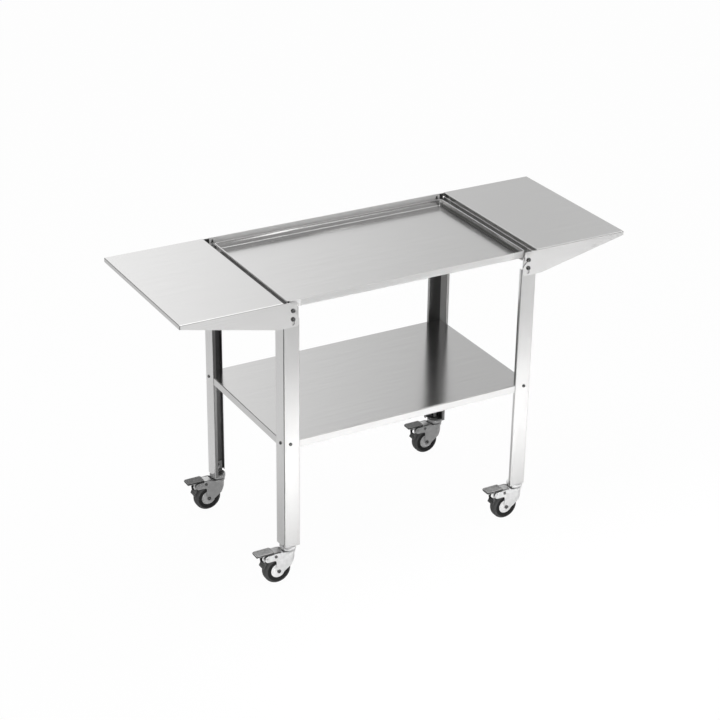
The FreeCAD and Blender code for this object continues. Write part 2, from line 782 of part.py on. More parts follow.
def make_fork():
    nose_end = pin_x - nose_radius
    nose_top = pin_z + nose_radius
    nose_low = pin_z - nose_radius
    left = axle_x - lobe_left
    right = axle_x + lobe_radius
    low = axle_z - lobe_radius
    cheek_top = crown_top + cheek_rise
    rise_x = -cheek_outer - lobe_left
    outline = [flat(left, low), flat(right, low), flat(axle_x + heel_reach, axle_z + heel_rise),
               flat(crown_radius, crown_top - shoulder_drop), flat(crown_radius, crown_top),
               flat(-cheek_outer, crown_top), flat(rise_x, cheek_top), flat(nose_end, nose_top),
               flat(nose_end, nose_low), flat(left, nose_low)]
    nose_round = 0.95 * nose_radius
    lobe_round = 0.95 * lobe_left
    radii = [lobe_round, 0.95 * lobe_radius, lobe_radius, lobe_left, 0.0, cheek_rise, cheek_rise, nose_round,
             nose_round, lobe_round]
    body = prism(outline, radii, seen_from_front(-cheek_outer), along_y * (2.0 * cheek_outer))
    high = cheek_top + nose_radius
    hood = block(nose_end - 1.0, 0.0, -cheek_outer, cheek_outer, 0.0, high)
    hood = hood.fuse(Part.makeCylinder(cheek_outer, high))
    hollow = block(nose_end - 1.0, 0.0, -cheek_inner, cheek_inner, 0.0, crown_under)
    hollow = hollow.fuse(Part.makeCylinder(cheek_inner, crown_under))
    # Ahead of the crown the two cheeks stand apart, and the brake lever lies between them
    open_top = block(nose_end - 1.0, -cheek_outer, -cheek_inner, cheek_inner, 0.0, high)
    cap_low = crown_top - crown_rim
    cap_points = [flat(0, cap_low), flat(crown_radius, cap_low), flat(crown_radius, crown_top), flat(0, crown_top)]
    cap = lathe(cap_points, [0, 1.0, fork_sheet, 0], vec(0, 0, 0), vec(0, 0, 1))
    fork = body.common(hood).fuse(cap).cut(hollow).cut(open_top).removeSplitter()
    fork = fork.cut(Part.makeCylinder(kingpin_radius + running_gap, high))
    fork = fork.cut(ball_groove())
    for radius, x, z in ((axle_radius, axle_x, axle_z), (pin_radius, pin_x, pin_z),
                         (pin_radius, axle_x - spring_post_reach, axle_z + spring_post_rise)):
        fork = fork.cut(across(radius + thread_gap, x, z, cheek_outer + 1.0))
    return fork


def make_fork_pins():
    seat = vec(axle_x, -cheek_outer, axle_z)
    length = 2.0 * cheek_outer + axle_nut_height + stud_end
    bolt = button_screw(axle_radius, axle_head_radius, axle_head_height, length, seat, vec(0, -1, 0))
    bolt_nut = nut(axle_nut_flats, axle_nut_height, axle_radius + thread_gap,
                   vec(axle_x, cheek_outer, axle_z), along_y)
    head = pin_head_height
    pin = lathe(
        [flat(0, -cheek_outer - head), flat(pin_head_radius, -cheek_outer - head),
         flat(pin_head_radius, -cheek_outer), flat(pin_radius, -cheek_outer), flat(pin_radius, cheek_outer),
         flat(pin_head_radius, cheek_outer), flat(pin_head_radius, cheek_outer + head),
         flat(0, cheek_outer + head)],
        [0, 0.7 * head, 0, 0, 0, 0, 0.7 * head, 0], vec(pin_x, 0, pin_z), along_y)
    pieces = [bolt, bolt_nut, pin]
    for side in (-1, 1):
        start = vec(axle_x - spring_post_reach, side * cheek_inner, axle_z + spring_post_rise)
        pieces.append(lathe(
            [flat(0, 0), flat(pin_radius, 0), flat(pin_radius, fork_sheet), flat(pin_head_radius, fork_sheet),
             flat(pin_head_radius, fork_sheet + head), flat(0, fork_sheet + head)],
            [0, 0, 0, 0, 0.7 * head, 0], start, along_y * side))
    return Part.makeCompound(pieces)


def make_hub():
    points = [flat(axle_radius + running_gap, -hub_half), flat(boss_radius, -hub_half),
              flat(boss_radius + 1.0, 1.0 - rim_half), flat(bead_radius - 2.0, 0.5 - rim_half),
              flat(rim_radius, -rim_half), flat(rim_radius, rim_half),
              flat(bead_radius - 2.0, rim_half - 0.5), flat(boss_radius + 1.0, rim_half - 1.0),
              flat(boss_radius, hub_half), flat(axle_radius + running_gap, hub_half)]
    radii = [0, 1.0, 1.5, 0, 0, 0, 0, 1.5, 1.0, 0]
    return lathe(points, radii, vec(axle_x, 0, axle_z), along_y)


def make_tyre():
    seat = rim_half + thread_gap
    points = [flat(rim_radius + thread_gap, -seat), flat(bead_radius, -seat), flat(bead_radius, -tyre_half + 0.8),
              flat(0.75 * wheel_radius, -tyre_half), flat(wheel_radius, -tyre_half),
              flat(wheel_radius, tyre_half), flat(0.75 * wheel_radius, tyre_half),
              flat(bead_radius, tyre_half - 0.8), flat(bead_radius, seat), flat(rim_radius + thread_gap, seat)]
    radii = [0, 0, 0.5, 4.0, tyre_shoulder, tyre_shoulder, 4.0, 0.5, 0, 0]
    return lathe(points, radii, vec(axle_x, 0, axle_z), along_y)


def make_brake_lever():
    low = caster_height - lever_drop
    inner_end = -head_radius - lever_end_gap
    outer_end = axle_x - pedal_outer + 0.5 * lever_sheet
    path = [flat(outer_end, low), flat(axle_x - lever_bend_reach, low), flat(inner_end, low - lever_dip)]
    points, radii = folded_strip(path, lever_sheet, 3.0 * lever_sheet)
    lever = prism(points, radii, seen_from_front(-lever_half), along_y * (2.0 * lever_half))
    shoe_inner = wheel_radius + shoe_gap
    shoe = across(shoe_inner + shoe_thickness, axle_x, axle_z, lever_half)
    shoe = shoe.cut(across(shoe_inner, axle_x, axle_z, lever_half + 1.0))
    wedge = [flat(axle_x, axle_z)]
    for turn in (shoe_from, shoe_to):
        way = flat(math.cos(math.radians(turn)), math.sin(math.radians(turn)))
        wedge.append(flat(axle_x, axle_z) + way * (2.0 * shoe_inner))
    shoe = shoe.common(prism(wedge, [0] * 3, seen_from_front(-lever_half), along_y * (2.0 * lever_half)))

    def on_shoe(radius, turn):
        way = flat(math.cos(math.radians(turn)), math.sin(math.radians(turn)))
        return flat(axle_x, axle_z) + way * radius

    # Two ears hang from the plate, hold the pin and carry the shoe
    ear_top = low + 0.5 * lever_sheet
    shoe_mid = shoe_inner + 0.4 * shoe_thickness
    shoe_turn = 0.05 * (shoe_to - shoe_from)
    ear = [flat(pin_x - ear_reach, ear_top), flat(pin_x + ear_reach, ear_top),
           flat(pin_x + 0.5 * ear_reach, pin_z - 0.7 * nose_radius),
           flat(pin_x - 0.3 * ear_reach, pin_z - 0.95 * nose_radius), on_shoe(shoe_mid, shoe_from + shoe_turn),
           on_shoe(shoe_mid, shoe_from + 3.5 * shoe_turn),
           on_shoe(shoe_inner + shoe_thickness, shoe_from + 8.0 * shoe_turn)]
    ear_radii = [0, 0, 2.0 * pin_radius, pin_radius, 0, 0, 0]
    for start in (-lever_half, lever_half - lever_sheet):
        lever = lever.fuse(prism(ear, ear_radii, seen_from_front(start), along_y * lever_sheet))
    lever = lever.fuse(shoe).removeSplitter()
    return lever.cut(across(pin_radius + running_gap, pin_x, pin_z, lever_half + 1.0))


def make_pedal_tread():
    low = caster_height - lever_drop + lever_sheet
    top = low + pedal_thickness
    first = axle_x - pedal_outer
    last = axle_x - pedal_inner
    outline = [flat(first, -pedal_half), flat(last, -pedal_half), flat(last, pedal_half), flat(first, pedal_half)]
    outer_round = 2.0 * pedal_margin
    tread = prism(outline, [outer_round, pedal_margin, pedal_margin, outer_round], in_plan(low),
                  vec(0, 0, pedal_thickness))
    tread = tread.makeFillet(groove_depth, level_edges(tread, top))
    pitch = 2.0 * pedal_half / (pedal_grooves + 1.0)
    for step in range(pedal_grooves):
        y = pitch * (step + 1.0) - pedal_half
        tread = tread.cut(block(first + pedal_margin, last - pedal_margin, y - 0.5 * groove_width,
                                y + 0.5 * groove_width, top - groove_depth, top + 1.0))
    return tread


caster_pieces = {
    "swivel_head": make_swivel_head(), "swivel_balls": make_balls(), "fork": make_fork(),
    "fork_pins": make_fork_pins(), "wheel_hub": make_hub(), "tyre": make_tyre(),
    "brake_lever": make_brake_lever(), "pedal_tread": make_pedal_tread()}
for corner, (side_x, side_y) in sides.items():
    for name, shape in caster_pieces.items():
        placed = shape.copy()
        placed.translate(vec(side_x * swivel_x, side_y * swivel_y, 0))
        save(corner + "_" + name, placed)
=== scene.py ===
# %% [markdown]
# A grill cart in brushed stainless sheet: a recessed tray between two fold-down side shelves, a lower
# shelf, four angle legs and four braked casters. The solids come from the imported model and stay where
# they are. This notebook gives each of them its finish, and builds the fasteners, the wheels and the
# other small repeated things again with more detail.

import json
import math

import bmesh
import bpy
from mathutils import Matrix, Vector


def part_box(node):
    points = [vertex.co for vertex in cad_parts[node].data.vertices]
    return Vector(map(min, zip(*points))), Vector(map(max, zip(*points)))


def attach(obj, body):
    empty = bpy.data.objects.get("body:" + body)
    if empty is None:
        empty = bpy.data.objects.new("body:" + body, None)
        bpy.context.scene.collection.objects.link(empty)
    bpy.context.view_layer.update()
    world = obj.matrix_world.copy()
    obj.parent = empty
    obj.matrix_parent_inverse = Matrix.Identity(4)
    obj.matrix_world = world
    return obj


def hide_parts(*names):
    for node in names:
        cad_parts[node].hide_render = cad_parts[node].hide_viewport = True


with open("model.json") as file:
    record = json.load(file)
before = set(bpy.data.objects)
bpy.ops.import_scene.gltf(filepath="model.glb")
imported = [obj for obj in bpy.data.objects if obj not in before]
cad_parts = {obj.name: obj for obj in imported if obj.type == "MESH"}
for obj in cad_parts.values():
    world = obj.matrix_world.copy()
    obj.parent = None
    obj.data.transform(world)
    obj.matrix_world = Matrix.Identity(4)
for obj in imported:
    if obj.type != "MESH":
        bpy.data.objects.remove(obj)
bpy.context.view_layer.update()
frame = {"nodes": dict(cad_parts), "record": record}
nodes = frame["nodes"]
corners = ("front_left", "front_right", "rear_left", "rear_right")
sides = ("left", "right")
mm = 0.001
full_turn = 2.0 * math.pi

# %% [markdown]
# The camera stands well back, to the left of the front, and looks down a little. A long lens keeps the
# edges of the cart nearly parallel. Its place and its three angles were fitted once to the corners of
# the shelves, the legs and the wheels. Its film and its lens are given in millimetres, as Blender does.

# %% Camera
camera_yaw = math.radians(29.48)
camera_pitch = math.radians(25.97)
camera_roll = math.radians(0.78)
camera_place = Vector((-2.39384, -4.19155, 2.83663))
film_width = 36.0
focal_length = 95.05
sight_limit = 60.0

look = Vector((
    math.sin(camera_yaw) * math.cos(camera_pitch),
    math.cos(camera_yaw) * math.cos(camera_pitch),
    -math.sin(camera_pitch)))
level_right = Vector((math.cos(camera_yaw), -math.sin(camera_yaw), 0.0))
level_up = level_right.cross(look)
right = math.cos(camera_roll) * level_right + math.sin(camera_roll) * level_up
up = -math.sin(camera_roll) * level_right + math.cos(camera_roll) * level_up

camera_data = bpy.data.cameras.new("camera")
camera_data.sensor_width = film_width
camera_data.lens = focal_length
camera_data.clip_end = sight_limit
camera = bpy.data.objects.new("camera", camera_data)
bpy.context.scene.collection.objects.link(camera)
camera.matrix_world = Matrix((
    (right.x, up.x, -look.x, camera_place.x),
    (right.y, up.y, -look.y, camera_place.y),
    (right.z, up.z, -look.z, camera_place.z),
    (0.0, 0.0, 0.0, 1.0)))
bpy.context.scene.camera = camera
bpy.context.scene.view_settings.view_transform = "Standard"
print("camera at", [round(value, 3) for value in camera_place])

# %% [markdown]
# A finish is a small node tree, and so is a recipe for a shape. Nodes can be linked one by one, but then
# a short sum takes many lines. A wire is one socket that is added, multiplied and compared like a
# number, and each such step adds its Math node to the tree.

# %% Wires
class Wire:
    """One output socket; sums on wires become Math nodes."""

    def __init__(self, board, socket):
        self.board = board
        self.socket = socket

    def sum(self, operation, first, second=0.0):
        """A Math node on one or two values."""
        return self.board.node("ShaderNodeMath", {"operation": operation}, {0: first, 1: second})

    def __add__(self, other):
        return self.sum("ADD", self, other)

    def __radd__(self, other):
        return self.sum("ADD", other, self)

    def __sub__(self, other):
        return self.sum("SUBTRACT", self, other)

    def __rsub__(self, other):
        return self.sum("SUBTRACT", other, self)

    def __mul__(self, other):
        return self.sum("MULTIPLY", self, other)

    def __rmul__(self, other):
        return self.sum("MULTIPLY", other, self)

    def __truediv__(self, other):
        return self.sum("DIVIDE", self, other)

    def __rtruediv__(self, other):
        return self.sum("DIVIDE", other, self)

    def __neg__(self):
        return self.sum("SUBTRACT", 0.0, self)

    def bare(self):
        """The value without its sign."""
        return self.sum("ABSOLUTE", self)

    def least(self, other):
        return self.sum("MINIMUM", self, other)

    def most(self, other):
        return self.sum("MAXIMUM", self, other)

    def over(self, limit):
        """One where the value is above the limit, and zero elsewhere."""
        return self.sum("GREATER_THAN", self, limit)

    def under(self, limit):
        """One where the value is below the limit, and zero elsewhere."""
        return self.sum("LESS_THAN", self, limit)

    def clamped(self):
        """The value, held between zero and one."""
        return self.most(0.0).least(1.0)

    def also(self, label):
        """Another output of the node that this wire comes from."""
        return Wire(self.board, self.socket.node.outputs[label])


print("wires ready")

# %% [markdown]
# A board is the tree itself, with one method that makes any node: its kind, its settings, and then what
# goes into its sockets. The other methods are nodes that the finishes ask for often. Noise is laid on
# the place in metres, so a pattern keeps its real size on every piece.

# %% Boards
class Board:
    """A node tree with one way to add a node: kind, settings, then sockets."""

    def __init__(self, tree):
        self.tree = tree
        tree.nodes.clear()

    def node(self, kind, settings=None, sockets=None, output=0):
        made = self.tree.nodes.new(kind)
        for name, value in (settings or {}).items():
            if name == "stops":
                self.set_stops(made.color_ramp, value)
            else:
                setattr(made, name, value)
        self.connect(made, sockets or {})
        return Wire(self, made.outputs[output]) if len(made.outputs) else made

    def connect(self, made, sockets):
        """Wires are linked to a node's sockets, and plain values are set on them."""
        for name, value in sockets.items():
            if isinstance(value, Wire):
                self.tree.links.new(value.socket, made.inputs[name])
            else:
                made.inputs[name].default_value = value

    def set_stops(self, ramp, stops):
        while len(ramp.elements) < len(stops):
            ramp.elements.new(0.5)
        for element, (position, colour) in zip(ramp.elements, stops):
            element.position = position
            element.color = colour

    def ramp(self, value, stops):
        return self.node("ShaderNodeValToRGB", {"stops": stops}, {0: value})

    def noise(self, scales, detail=2.0):
        """Noise on the place in metres, with its own scale along each axis."""
        spot = self.node("ShaderNodeTexCoord", output="Object")
        spot = self.node("ShaderNodeMapping", {}, {"Vector": spot, "Scale": scales})
        return self.node("ShaderNodeTexNoise", {}, {"Vector": spot, "Scale": 1.0, "Detail": detail})

    def place(self):
        """The place on the piece, in metres: X first, and Y and Z beside it."""
        spot = self.node("ShaderNodeTexCoord", output="Object")
        return self.node("ShaderNodeSeparateXYZ", {}, {0: spot})

    def mixed(self, share, first, second, blend="MIX"):
        """Sockets 6 and 7 and output 2 are the colours of a Mix node."""
        return self.node("ShaderNodeMix", {"data_type": "RGBA", "blend_type": blend}, {
            0: share, 6: first, 7: second}, output=2)

    def shaded(self, colour, brightness):
        return self.mixed(1.0, colour, brightness, "MULTIPLY")

    def bump(self, height, strength, distance):
        return self.node("ShaderNodeBump", {}, {
            "Strength": strength, "Distance": distance, "Height": height})


print("boards ready")

# %% [markdown]
# Every finish on the cart is one Principled shader. A number that is the same all over is set on the
# shader's own socket, and only what changes over the surface comes through a wire.

# %% Finishes
def grey(level, warmth=0.0):
    """A grey as a colour of four numbers, with a little more red than blue where it is warm."""
    return (level * (1.0 + warmth), level, level * (1.0 - warmth), 1.0)


def finish(name):
    """A material with its board and its one shader."""
    material = bpy.data.materials.new(name)
    material.use_nodes = True
    board = Board(material.node_tree)
    shader = board.node("ShaderNodeBsdfPrincipled")
    board.node("ShaderNodeOutputMaterial", {}, {"Surface": shader})
    return material, board, shader.socket.node


print("finish helpers ready")

# %% [markdown]
# An angle leg has painted shade inside. Its faces could have materials of their own, but how deep a
# point lies behind the leg's outer faces already tells the inside from the outside, with nothing to sort
# by hand. Inside, the front and rear flanges are painted dark and the side flanges mirror less. The lips
# of the rear legs have painted shade too, and the front and rear faces are painted darker towards the top.

# %% Painted shade on the legs
leg_low, leg_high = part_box("rear_right_leg")
leg_outer_x = leg_high[0]
leg_outer_y = leg_high[1]
leg_flange = leg_high[0] - leg_low[0]
leg_sheet = 2.0 * mm
inside_from = 0.75 * leg_sheet
lip_from = leg_flange - 1.05 * leg_sheet
face_from = leg_outer_y - 0.5 * leg_sheet
top_from = 470.0 * mm
top_blend = 200.0 * mm
inside_shade = 0.85
lip_gain = 0.26
top_shade = 0.17
side_dullness = 0.5


def leg_masks(board):
    """Where the inside of an angle leg is, and in it the lips, the front lips and the side flange."""
    place = board.place()
    depth_x = leg_outer_x - place.bare()
    depth_y = leg_outer_y - place.also("Y").bare()
    lip = depth_x.most(depth_y).over(lip_from)
    return {
        "inside": depth_x.least(depth_y).over(inside_from),
        "lip": lip,
        "front_lip": lip * place.also("Y").under(0.0),
        "side": depth_x.under(depth_y) * (1.0 - lip)}


def leg_face_top(board):
    """Rises from zero to one up the outer front and rear faces of a leg."""
    place = board.place()
    rise = (place.also("Z") - top_from) / top_blend
    return place.also("Y").bare().over(face_from) * rise.clamped()


def leg_painted_shade(board):
    """Painted shade: one on most of a leg, less on rear lips and face tops, least inside front or rear."""
    masks = leg_masks(board)
    gain = lip_gain * masks["lip"] + (inside_shade - lip_gain) * masks["front_lip"]
    gain = gain + inside_shade * masks["side"]
    return 1.0 - masks["inside"] * (inside_shade - gain) - top_shade * leg_face_top(board)


def leg_metal(board):
    """Less inside the side flange, which is dull, and one elsewhere."""
    masks = leg_masks(board)
    return 1.0 - side_dullness * masks["inside"] * masks["side"]


print("legs reach", round(leg_outer_x, 4), round(leg_outer_y, 4))

# %% [markdown]
# The side rails lie in a channel between tray and shelf, and have painted shade between their ends,
# most on the left. The tray's end walls have painted shade in their lower half inside, which makes them
# look shallower.
# The outside of their rims and the ends of the front wall mirror little, because a mirror there would
# only show the dark inside of a leg. The places on the tray are measured from its own box.

# %% Painted shade on the rails and the tray, and where the tray mirrors less
rail_end = 200.0 * mm
rail_left = 0.27
rail_right = 0.6
tray_low, tray_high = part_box("tray")
tray_outside = tray_high[0] - 0.75 * mm
tray_inside = tray_high[0] - 5.5 * mm
tray_end = tray_high[0] - 38.0 * mm
tray_front = tray_low[1] + 0.7 * mm
tray_rim = tray_high[2] - 4.5 * mm
tray_wall_middle = tray_high[2] - 10.0 * mm
wall_shade = 0.6
rim_dullness = 0.85


def rail_painted_shade(board):
    """Painted shade: one at the ends of a side rail, less between them, least on the left one."""
    place = board.place()
    middle = rail_left + (rail_right - rail_left) * place.over(0.0)
    return middle + (1.0 - middle) * place.also("Y").bare().over(rail_end)


def tray_painted_shade(board):
    """Painted shade: less on the lower half of the tray's end walls, inside, and one elsewhere."""
    place = board.place()
    across = place.bare()
    inner = across.over(tray_inside) * across.under(tray_outside)
    return 1.0 - wall_shade * inner * place.also("Z").under(tray_wall_middle)


def tray_metal(board):
    """Less on the outside of the end walls' rims and on the ends of the front wall."""
    place = board.place()
    across = place.bare()
    rim = across.over(tray_outside) * place.also("Z").over(tray_rim)
    front_end = place.also("Y").under(tray_front) * across.over(tray_end)
    return 1.0 - rim_dullness * rim.most(front_end)


print("tray from", [round(value, 4) for value in tray_low], "to", [round(value, 4) for value in tray_high])

# %% [markdown]
# Brushed sheet is steel drawn past an abrasive belt, so its scratches all run one way. Noise that is
# stretched a hundredfold along the grain gives the scratches. As bump they tilt the surface only across
# the grain, so a reflection smears across the grain and stays sharp along it, as on the real sheet. A
# slow cloud on top is the hand marks and the rolling of the sheet. Other numbers in the same recipe give
# the smoother sheet of the lower shelf, the dull one of the side rails with its painted shade, and the
# satin one of the rear rail. Where a piece gives painted shade, it darkens the sheet's colour.

# %% Brushed sheet
fine_scale = 1500.0
fine_drawn = 12.0
broad_scale = 300.0
broad_drawn = 2.5
hand_mark_scale = 4.0
fine_share = 0.7
streak_rough = 0.08
cloud_rough = 0.05
middle_rough = 0.06
shade_rough = 0.15
grain_x = 0
grain_z = 2


def drawn_out(grain, scale, drawn):
    """The scales of a noise that is stretched along the grain."""
    scales = [scale] * 3
    scales[grain] = drawn
    return scales


def brushed_sheet(name, grain, tone, roughness, scratch_depth, light=None, metal=1.0):
    """Light says where shade is painted on the sheet, and metal is a number or says where it mirrors less.
    """
    material, board, shader = finish(name)
    fine = board.noise(drawn_out(grain, fine_scale, fine_drawn))
    broad = board.noise(drawn_out(grain, broad_scale, broad_drawn))
    cloud = board.noise([hand_mark_scale] * 3, detail=3.0)
    streak = fine_share * fine + (1.0 - fine_share) * broad
    colour = board.ramp(streak, [(0.3, grey(tone * 0.94, 0.006)), (0.7, grey(tone * 1.04, 0.004))])
    rough = roughness - middle_rough + streak_rough * streak + cloud_rough * cloud
    # Painted shade darkens the colour where the piece gives it.
    if light:
        brightness = light(board)
        colour = board.shaded(colour, brightness)
        rough = rough + shade_rough * (1.0 - brightness)
    board.connect(shader, {
        "Base Color": colour, "Roughness": rough, "Metallic": metal(board) if callable(metal) else metal,
        "Normal": board.bump(fine, strength=1.0, distance=scratch_depth)})
    return material


sheet_long = brushed_sheet(
    "brushed_sheet_long", grain_x, tone=0.76, roughness=0.20, scratch_depth=0.05 * mm)
sheet_upright = brushed_sheet(
    "brushed_sheet_upright", grain_z, tone=0.76, roughness=0.20, scratch_depth=0.04 * mm,
    light=leg_painted_shade, metal=leg_metal)
sheet_low = brushed_sheet(
    "brushed_sheet_low", grain_x, tone=0.68, roughness=0.15, scratch_depth=0.035 * mm)
dull_rail_shaded = brushed_sheet(
    "brushed_dull_rail_shaded", grain_x, tone=0.74, roughness=0.36, scratch_depth=0.05 * mm, light=rail_painted_shade)
sheet_satin = brushed_sheet(
    "brushed_sheet_satin", grain_x, tone=0.72, roughness=0.44, scratch_depth=0.05 * mm, metal=0.3)
sheet_tray = brushed_sheet(
    "brushed_sheet_tray", grain_x, tone=0.76, roughness=0.20, scratch_depth=0.05 * mm,
    light=tray_painted_shade, metal=tray_metal)
sheets = (sheet_long, sheet_upright, sheet_low, dull_rail_shaded, sheet_satin, sheet_tray)
print("brushed sheet", [sheet.name for sheet in sheets])

# %% [markdown]
# The fasteners are dark turned steel, and the casters are zinc plated: a soft cloudy shine, no grain.
# The brackets in the feet are a darker plate. The brake levers are a duller one, and the part of each
# that comes down on the tyre is painted dark, for the shade under the pedal. The rear casters have
# painted shade, the shade of the cart, so their plate is told apart by its place along the cart's depth.

# %% Turned steel and zinc plate
shoe_top = 78.0 * mm
shoe_shade = 0.8
rear_shade = 0.47
plate_grain = 2200.0


def lever_painted_shade(board):
    """Painted shade: one on a brake lever's plate and ears, dark on its shoe, in the shade under the pedal.
    """
    return 1.0 - shoe_shade * board.place().also("Z").under(shoe_top)


def caster_painted_shade(board):
    """Painted shade: one on the front casters, and less on the rear ones, in the shade of the cart."""
    return 1.0 - rear_shade * board.place().also("Y").over(0.0)


def cloudy_metal(name, tone, roughness, spread, cloud_scale, light=None):
    """Turned or plated metal: its tone and shine are cloudy, and its grain is very fine."""
    material, board, shader = finish(name)
    cloud = board.noise([cloud_scale] * 3, detail=4.0)
    grain = board.noise([plate_grain] * 3)
    colour = board.ramp(cloud, [(0.3, grey(tone * 0.88)), (0.7, grey(tone * 1.06))])
    # Painted shade darkens the colour where the piece gives it.
    if light:
        colour = board.shaded(colour, light(board))
    board.connect(shader, {
        "Base Color": colour, "Roughness": roughness - 0.5 * spread + spread * cloud, "Metallic": 1.0,
        "Normal": board.bump(grain, strength=0.06, distance=0.1 * mm)})
    return material


turned_steel = cloudy_metal("turned_steel", tone=0.17, roughness=0.26, spread=0.12, cloud_scale=160.0)
zinc_plate = cloudy_metal(
    "zinc_plate", tone=0.92, roughness=0.30, spread=0.14, cloud_scale=90.0, light=caster_painted_shade)
bracket_plate = cloudy_metal(
    "bracket_plate", tone=0.48, roughness=0.34, spread=0.14, cloud_scale=90.0, light=caster_painted_shade)
lever_plate = cloudy_metal(
    "lever_plate", tone=0.68, roughness=0.34, spread=0.14, cloud_scale=90.0, light=lever_painted_shade)
ball_steel = cloudy_metal("ball_steel", tone=0.70, roughness=0.15, spread=0.05, cloud_scale=200.0)
metals = (turned_steel, zinc_plate, bracket_plate, lever_plate, ball_steel)
print("metals", [metal.name for metal in metals])

# %% [markdown]
# The tyre is dull black rubber that is lighter round its tread, the wheel centre is pale moulded plastic,
# and the pedal tread is dark moulded plastic that is trodden grey on top and painted lighter there for
# the light from above. All three have a fine moulded grain. No simple rule on the place says where a
# tyre's tread or a pedal's top and ribs are, so the piece's own mesh says it in an attribute. The rear
# centres and pedals have painted shade, as the rest of the rear casters has.

# %% Rubber and plastics
lighter_mark = "tread"
mottle_scale = 45.0
pore_scale = 1400.0
least_mark = 0.55
mark_rough = 0.15


def moulded(name, dark, pale, roughness, spread, gloss, marked_colour=None, light=None):
    """Mottled between dark and pale, and nearer the marked colour where the mesh is marked."""
    material, board, shader = finish(name)
    mottle = board.noise([mottle_scale] * 3, detail=4.0)
    pores = board.noise([pore_scale] * 3)
    colour = board.ramp(mottle, [(0.3, dark), (0.72, pale)])
    rough = roughness - 0.5 * spread + spread * mottle
    # The marked colour is the pedal's wear and painted light from above, and the tyre's lighter tread.
    if marked_colour:
        mark = board.node("ShaderNodeAttribute", {"attribute_name": lighter_mark}, output="Fac")
        marked_share = mark * (least_mark + (1.0 - least_mark) * mottle)
        colour = board.mixed(marked_share, colour, marked_colour)
        rough = rough + mark_rough * marked_share
    # Painted shade darkens the colour where the piece gives it.
    if light:
        colour = board.shaded(colour, light(board))
    board.connect(shader, {
        "Base Color": colour, "Roughness": rough, "Specular IOR Level": gloss,
        "Normal": board.bump(pores, strength=0.15, distance=0.2 * mm)})
    return material


tyre_rubber = moulded(
    "tyre_rubber", dark=grey(0.012), pale=grey(0.018), roughness=0.50, spread=0.16, gloss=0.2,
    marked_colour=grey(0.085))
hub_plastic = moulded(
    "hub_plastic", dark=grey(0.86), pale=grey(0.92), roughness=0.38, spread=0.10, gloss=0.5,
    light=caster_painted_shade)
pedal_plastic = moulded(
    "pedal_plastic", dark=grey(0.05), pale=grey(0.08), roughness=0.48, spread=0.12, gloss=0.4,
    marked_colour=grey(0.54), light=caster_painted_shade)
print("mouldings", tyre_rubber.name, hub_plastic.name, pedal_plastic.name)

# %% [markdown]
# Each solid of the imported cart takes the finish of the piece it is. The grain of a sheet runs along
# its length: along the cart for the shelves and rails, and upright for the legs.

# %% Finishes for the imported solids
def give(node, material):
    """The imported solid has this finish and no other."""
    slots = nodes[node].data.materials
    slots.clear()
    slots.append(material)


finish_by_slot = {
    "stainless_sheet": sheet_long, "fastener_steel": turned_steel, "caster_steel": zinc_plate,
    "tyre_rubber": tyre_rubber, "hub_plastic": hub_plastic, "pedal_plastic": pedal_plastic}
for entry in frame["record"]["subparts"]:
    give(entry["node"], finish_by_slot[entry["material_slot"]])
for corner in corners:
    give(corner + "_leg", sheet_upright)
    give(corner + "_caster_bracket", bracket_plate)
    give(corner + "_swivel_balls", ball_steel)
    give(corner + "_brake_lever", lever_plate)
    give(corner + "_fork_pins", zinc_plate)
for side in sides:
    give(side + "_side_rail", dull_rail_shaded)
give("rear_rail", sheet_satin)
give("lower_shelf", sheet_low)
give("tray", sheet_tray)

# %% [markdown]
# Folded sheet and pressed steel have round bends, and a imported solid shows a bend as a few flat
# strips. A copy of such a solid, with its loose triangles joined and its shading made smooth except at
# true edges, shows the bend as one curve. The normals are weighed by area, so the wide flats stay flat
# right up to the bend. The copy stands in for the solid and moves with its body.

# %% Smooth copies of the bent and pressed pieces
body_of = {}
for body, members in frame["record"]["behaviour"]["bodies"].items():
    for member in members:
        body_of[member] = body
join_distance = 0.001 * mm
edge_angle = math.radians(32.0)


def stand_in(piece, node):
    """The piece moves with the body of the node that it replaces, and the node is hidden."""
    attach(piece, body_of[node])
    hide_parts(node)


def as_plain_mesh(piece, modifier):
    """The piece keeps what the modifier made, and the modifier goes."""
    evaluated = piece.evaluated_get(bpy.context.evaluated_depsgraph_get())
    result = bpy.data.meshes.new_from_object(evaluated)
    piece.modifiers.remove(modifier)
    piece.data = result


def smooth_copy(node):
    mesh = nodes[node].data.copy()
    shape = bmesh.new()
    shape.from_mesh(mesh)
    bmesh.ops.remove_doubles(shape, verts=shape.verts[:], dist=join_distance)
    shape.to_mesh(mesh)
    shape.free()
    mesh.shade_smooth()
    mesh.set_sharp_from_angle(angle=edge_angle)
    piece = bpy.data.objects.new(node + "_smooth", mesh)
    bpy.context.scene.collection.objects.link(piece)
    weighing = piece.modifiers.new("weighing", "WEIGHTED_NORMAL")
    weighing.mode = "FACE_AREA_WITH_ANGLE"
    weighing.keep_sharp = True
    as_plain_mesh(piece, weighing)
    stand_in(piece, node)
    return piece


bent_nodes = ["tray", "rear_rail", "left_side_rail", "right_side_rail", "lower_shelf", "left_side_shelf",
              "right_side_shelf", "lock_bushes", "left_pivot_bushes", "right_pivot_bushes"]
for corner in corners:
    for part in ("leg", "caster_bracket", "fork", "fork_pins", "brake_lever", "swivel_balls"):
        bent_nodes.append(corner + "_" + part)
copies = {node: smooth_copy(node) for node in bent_nodes}
print("smooth copies", len(copies))

# %% [markdown]
# Between each side rail and its shelf the solids leave a slot that shows the floor as a white line. In
# the copies alone, the top edge of the rail's upright lip is raised a little, which closes it.

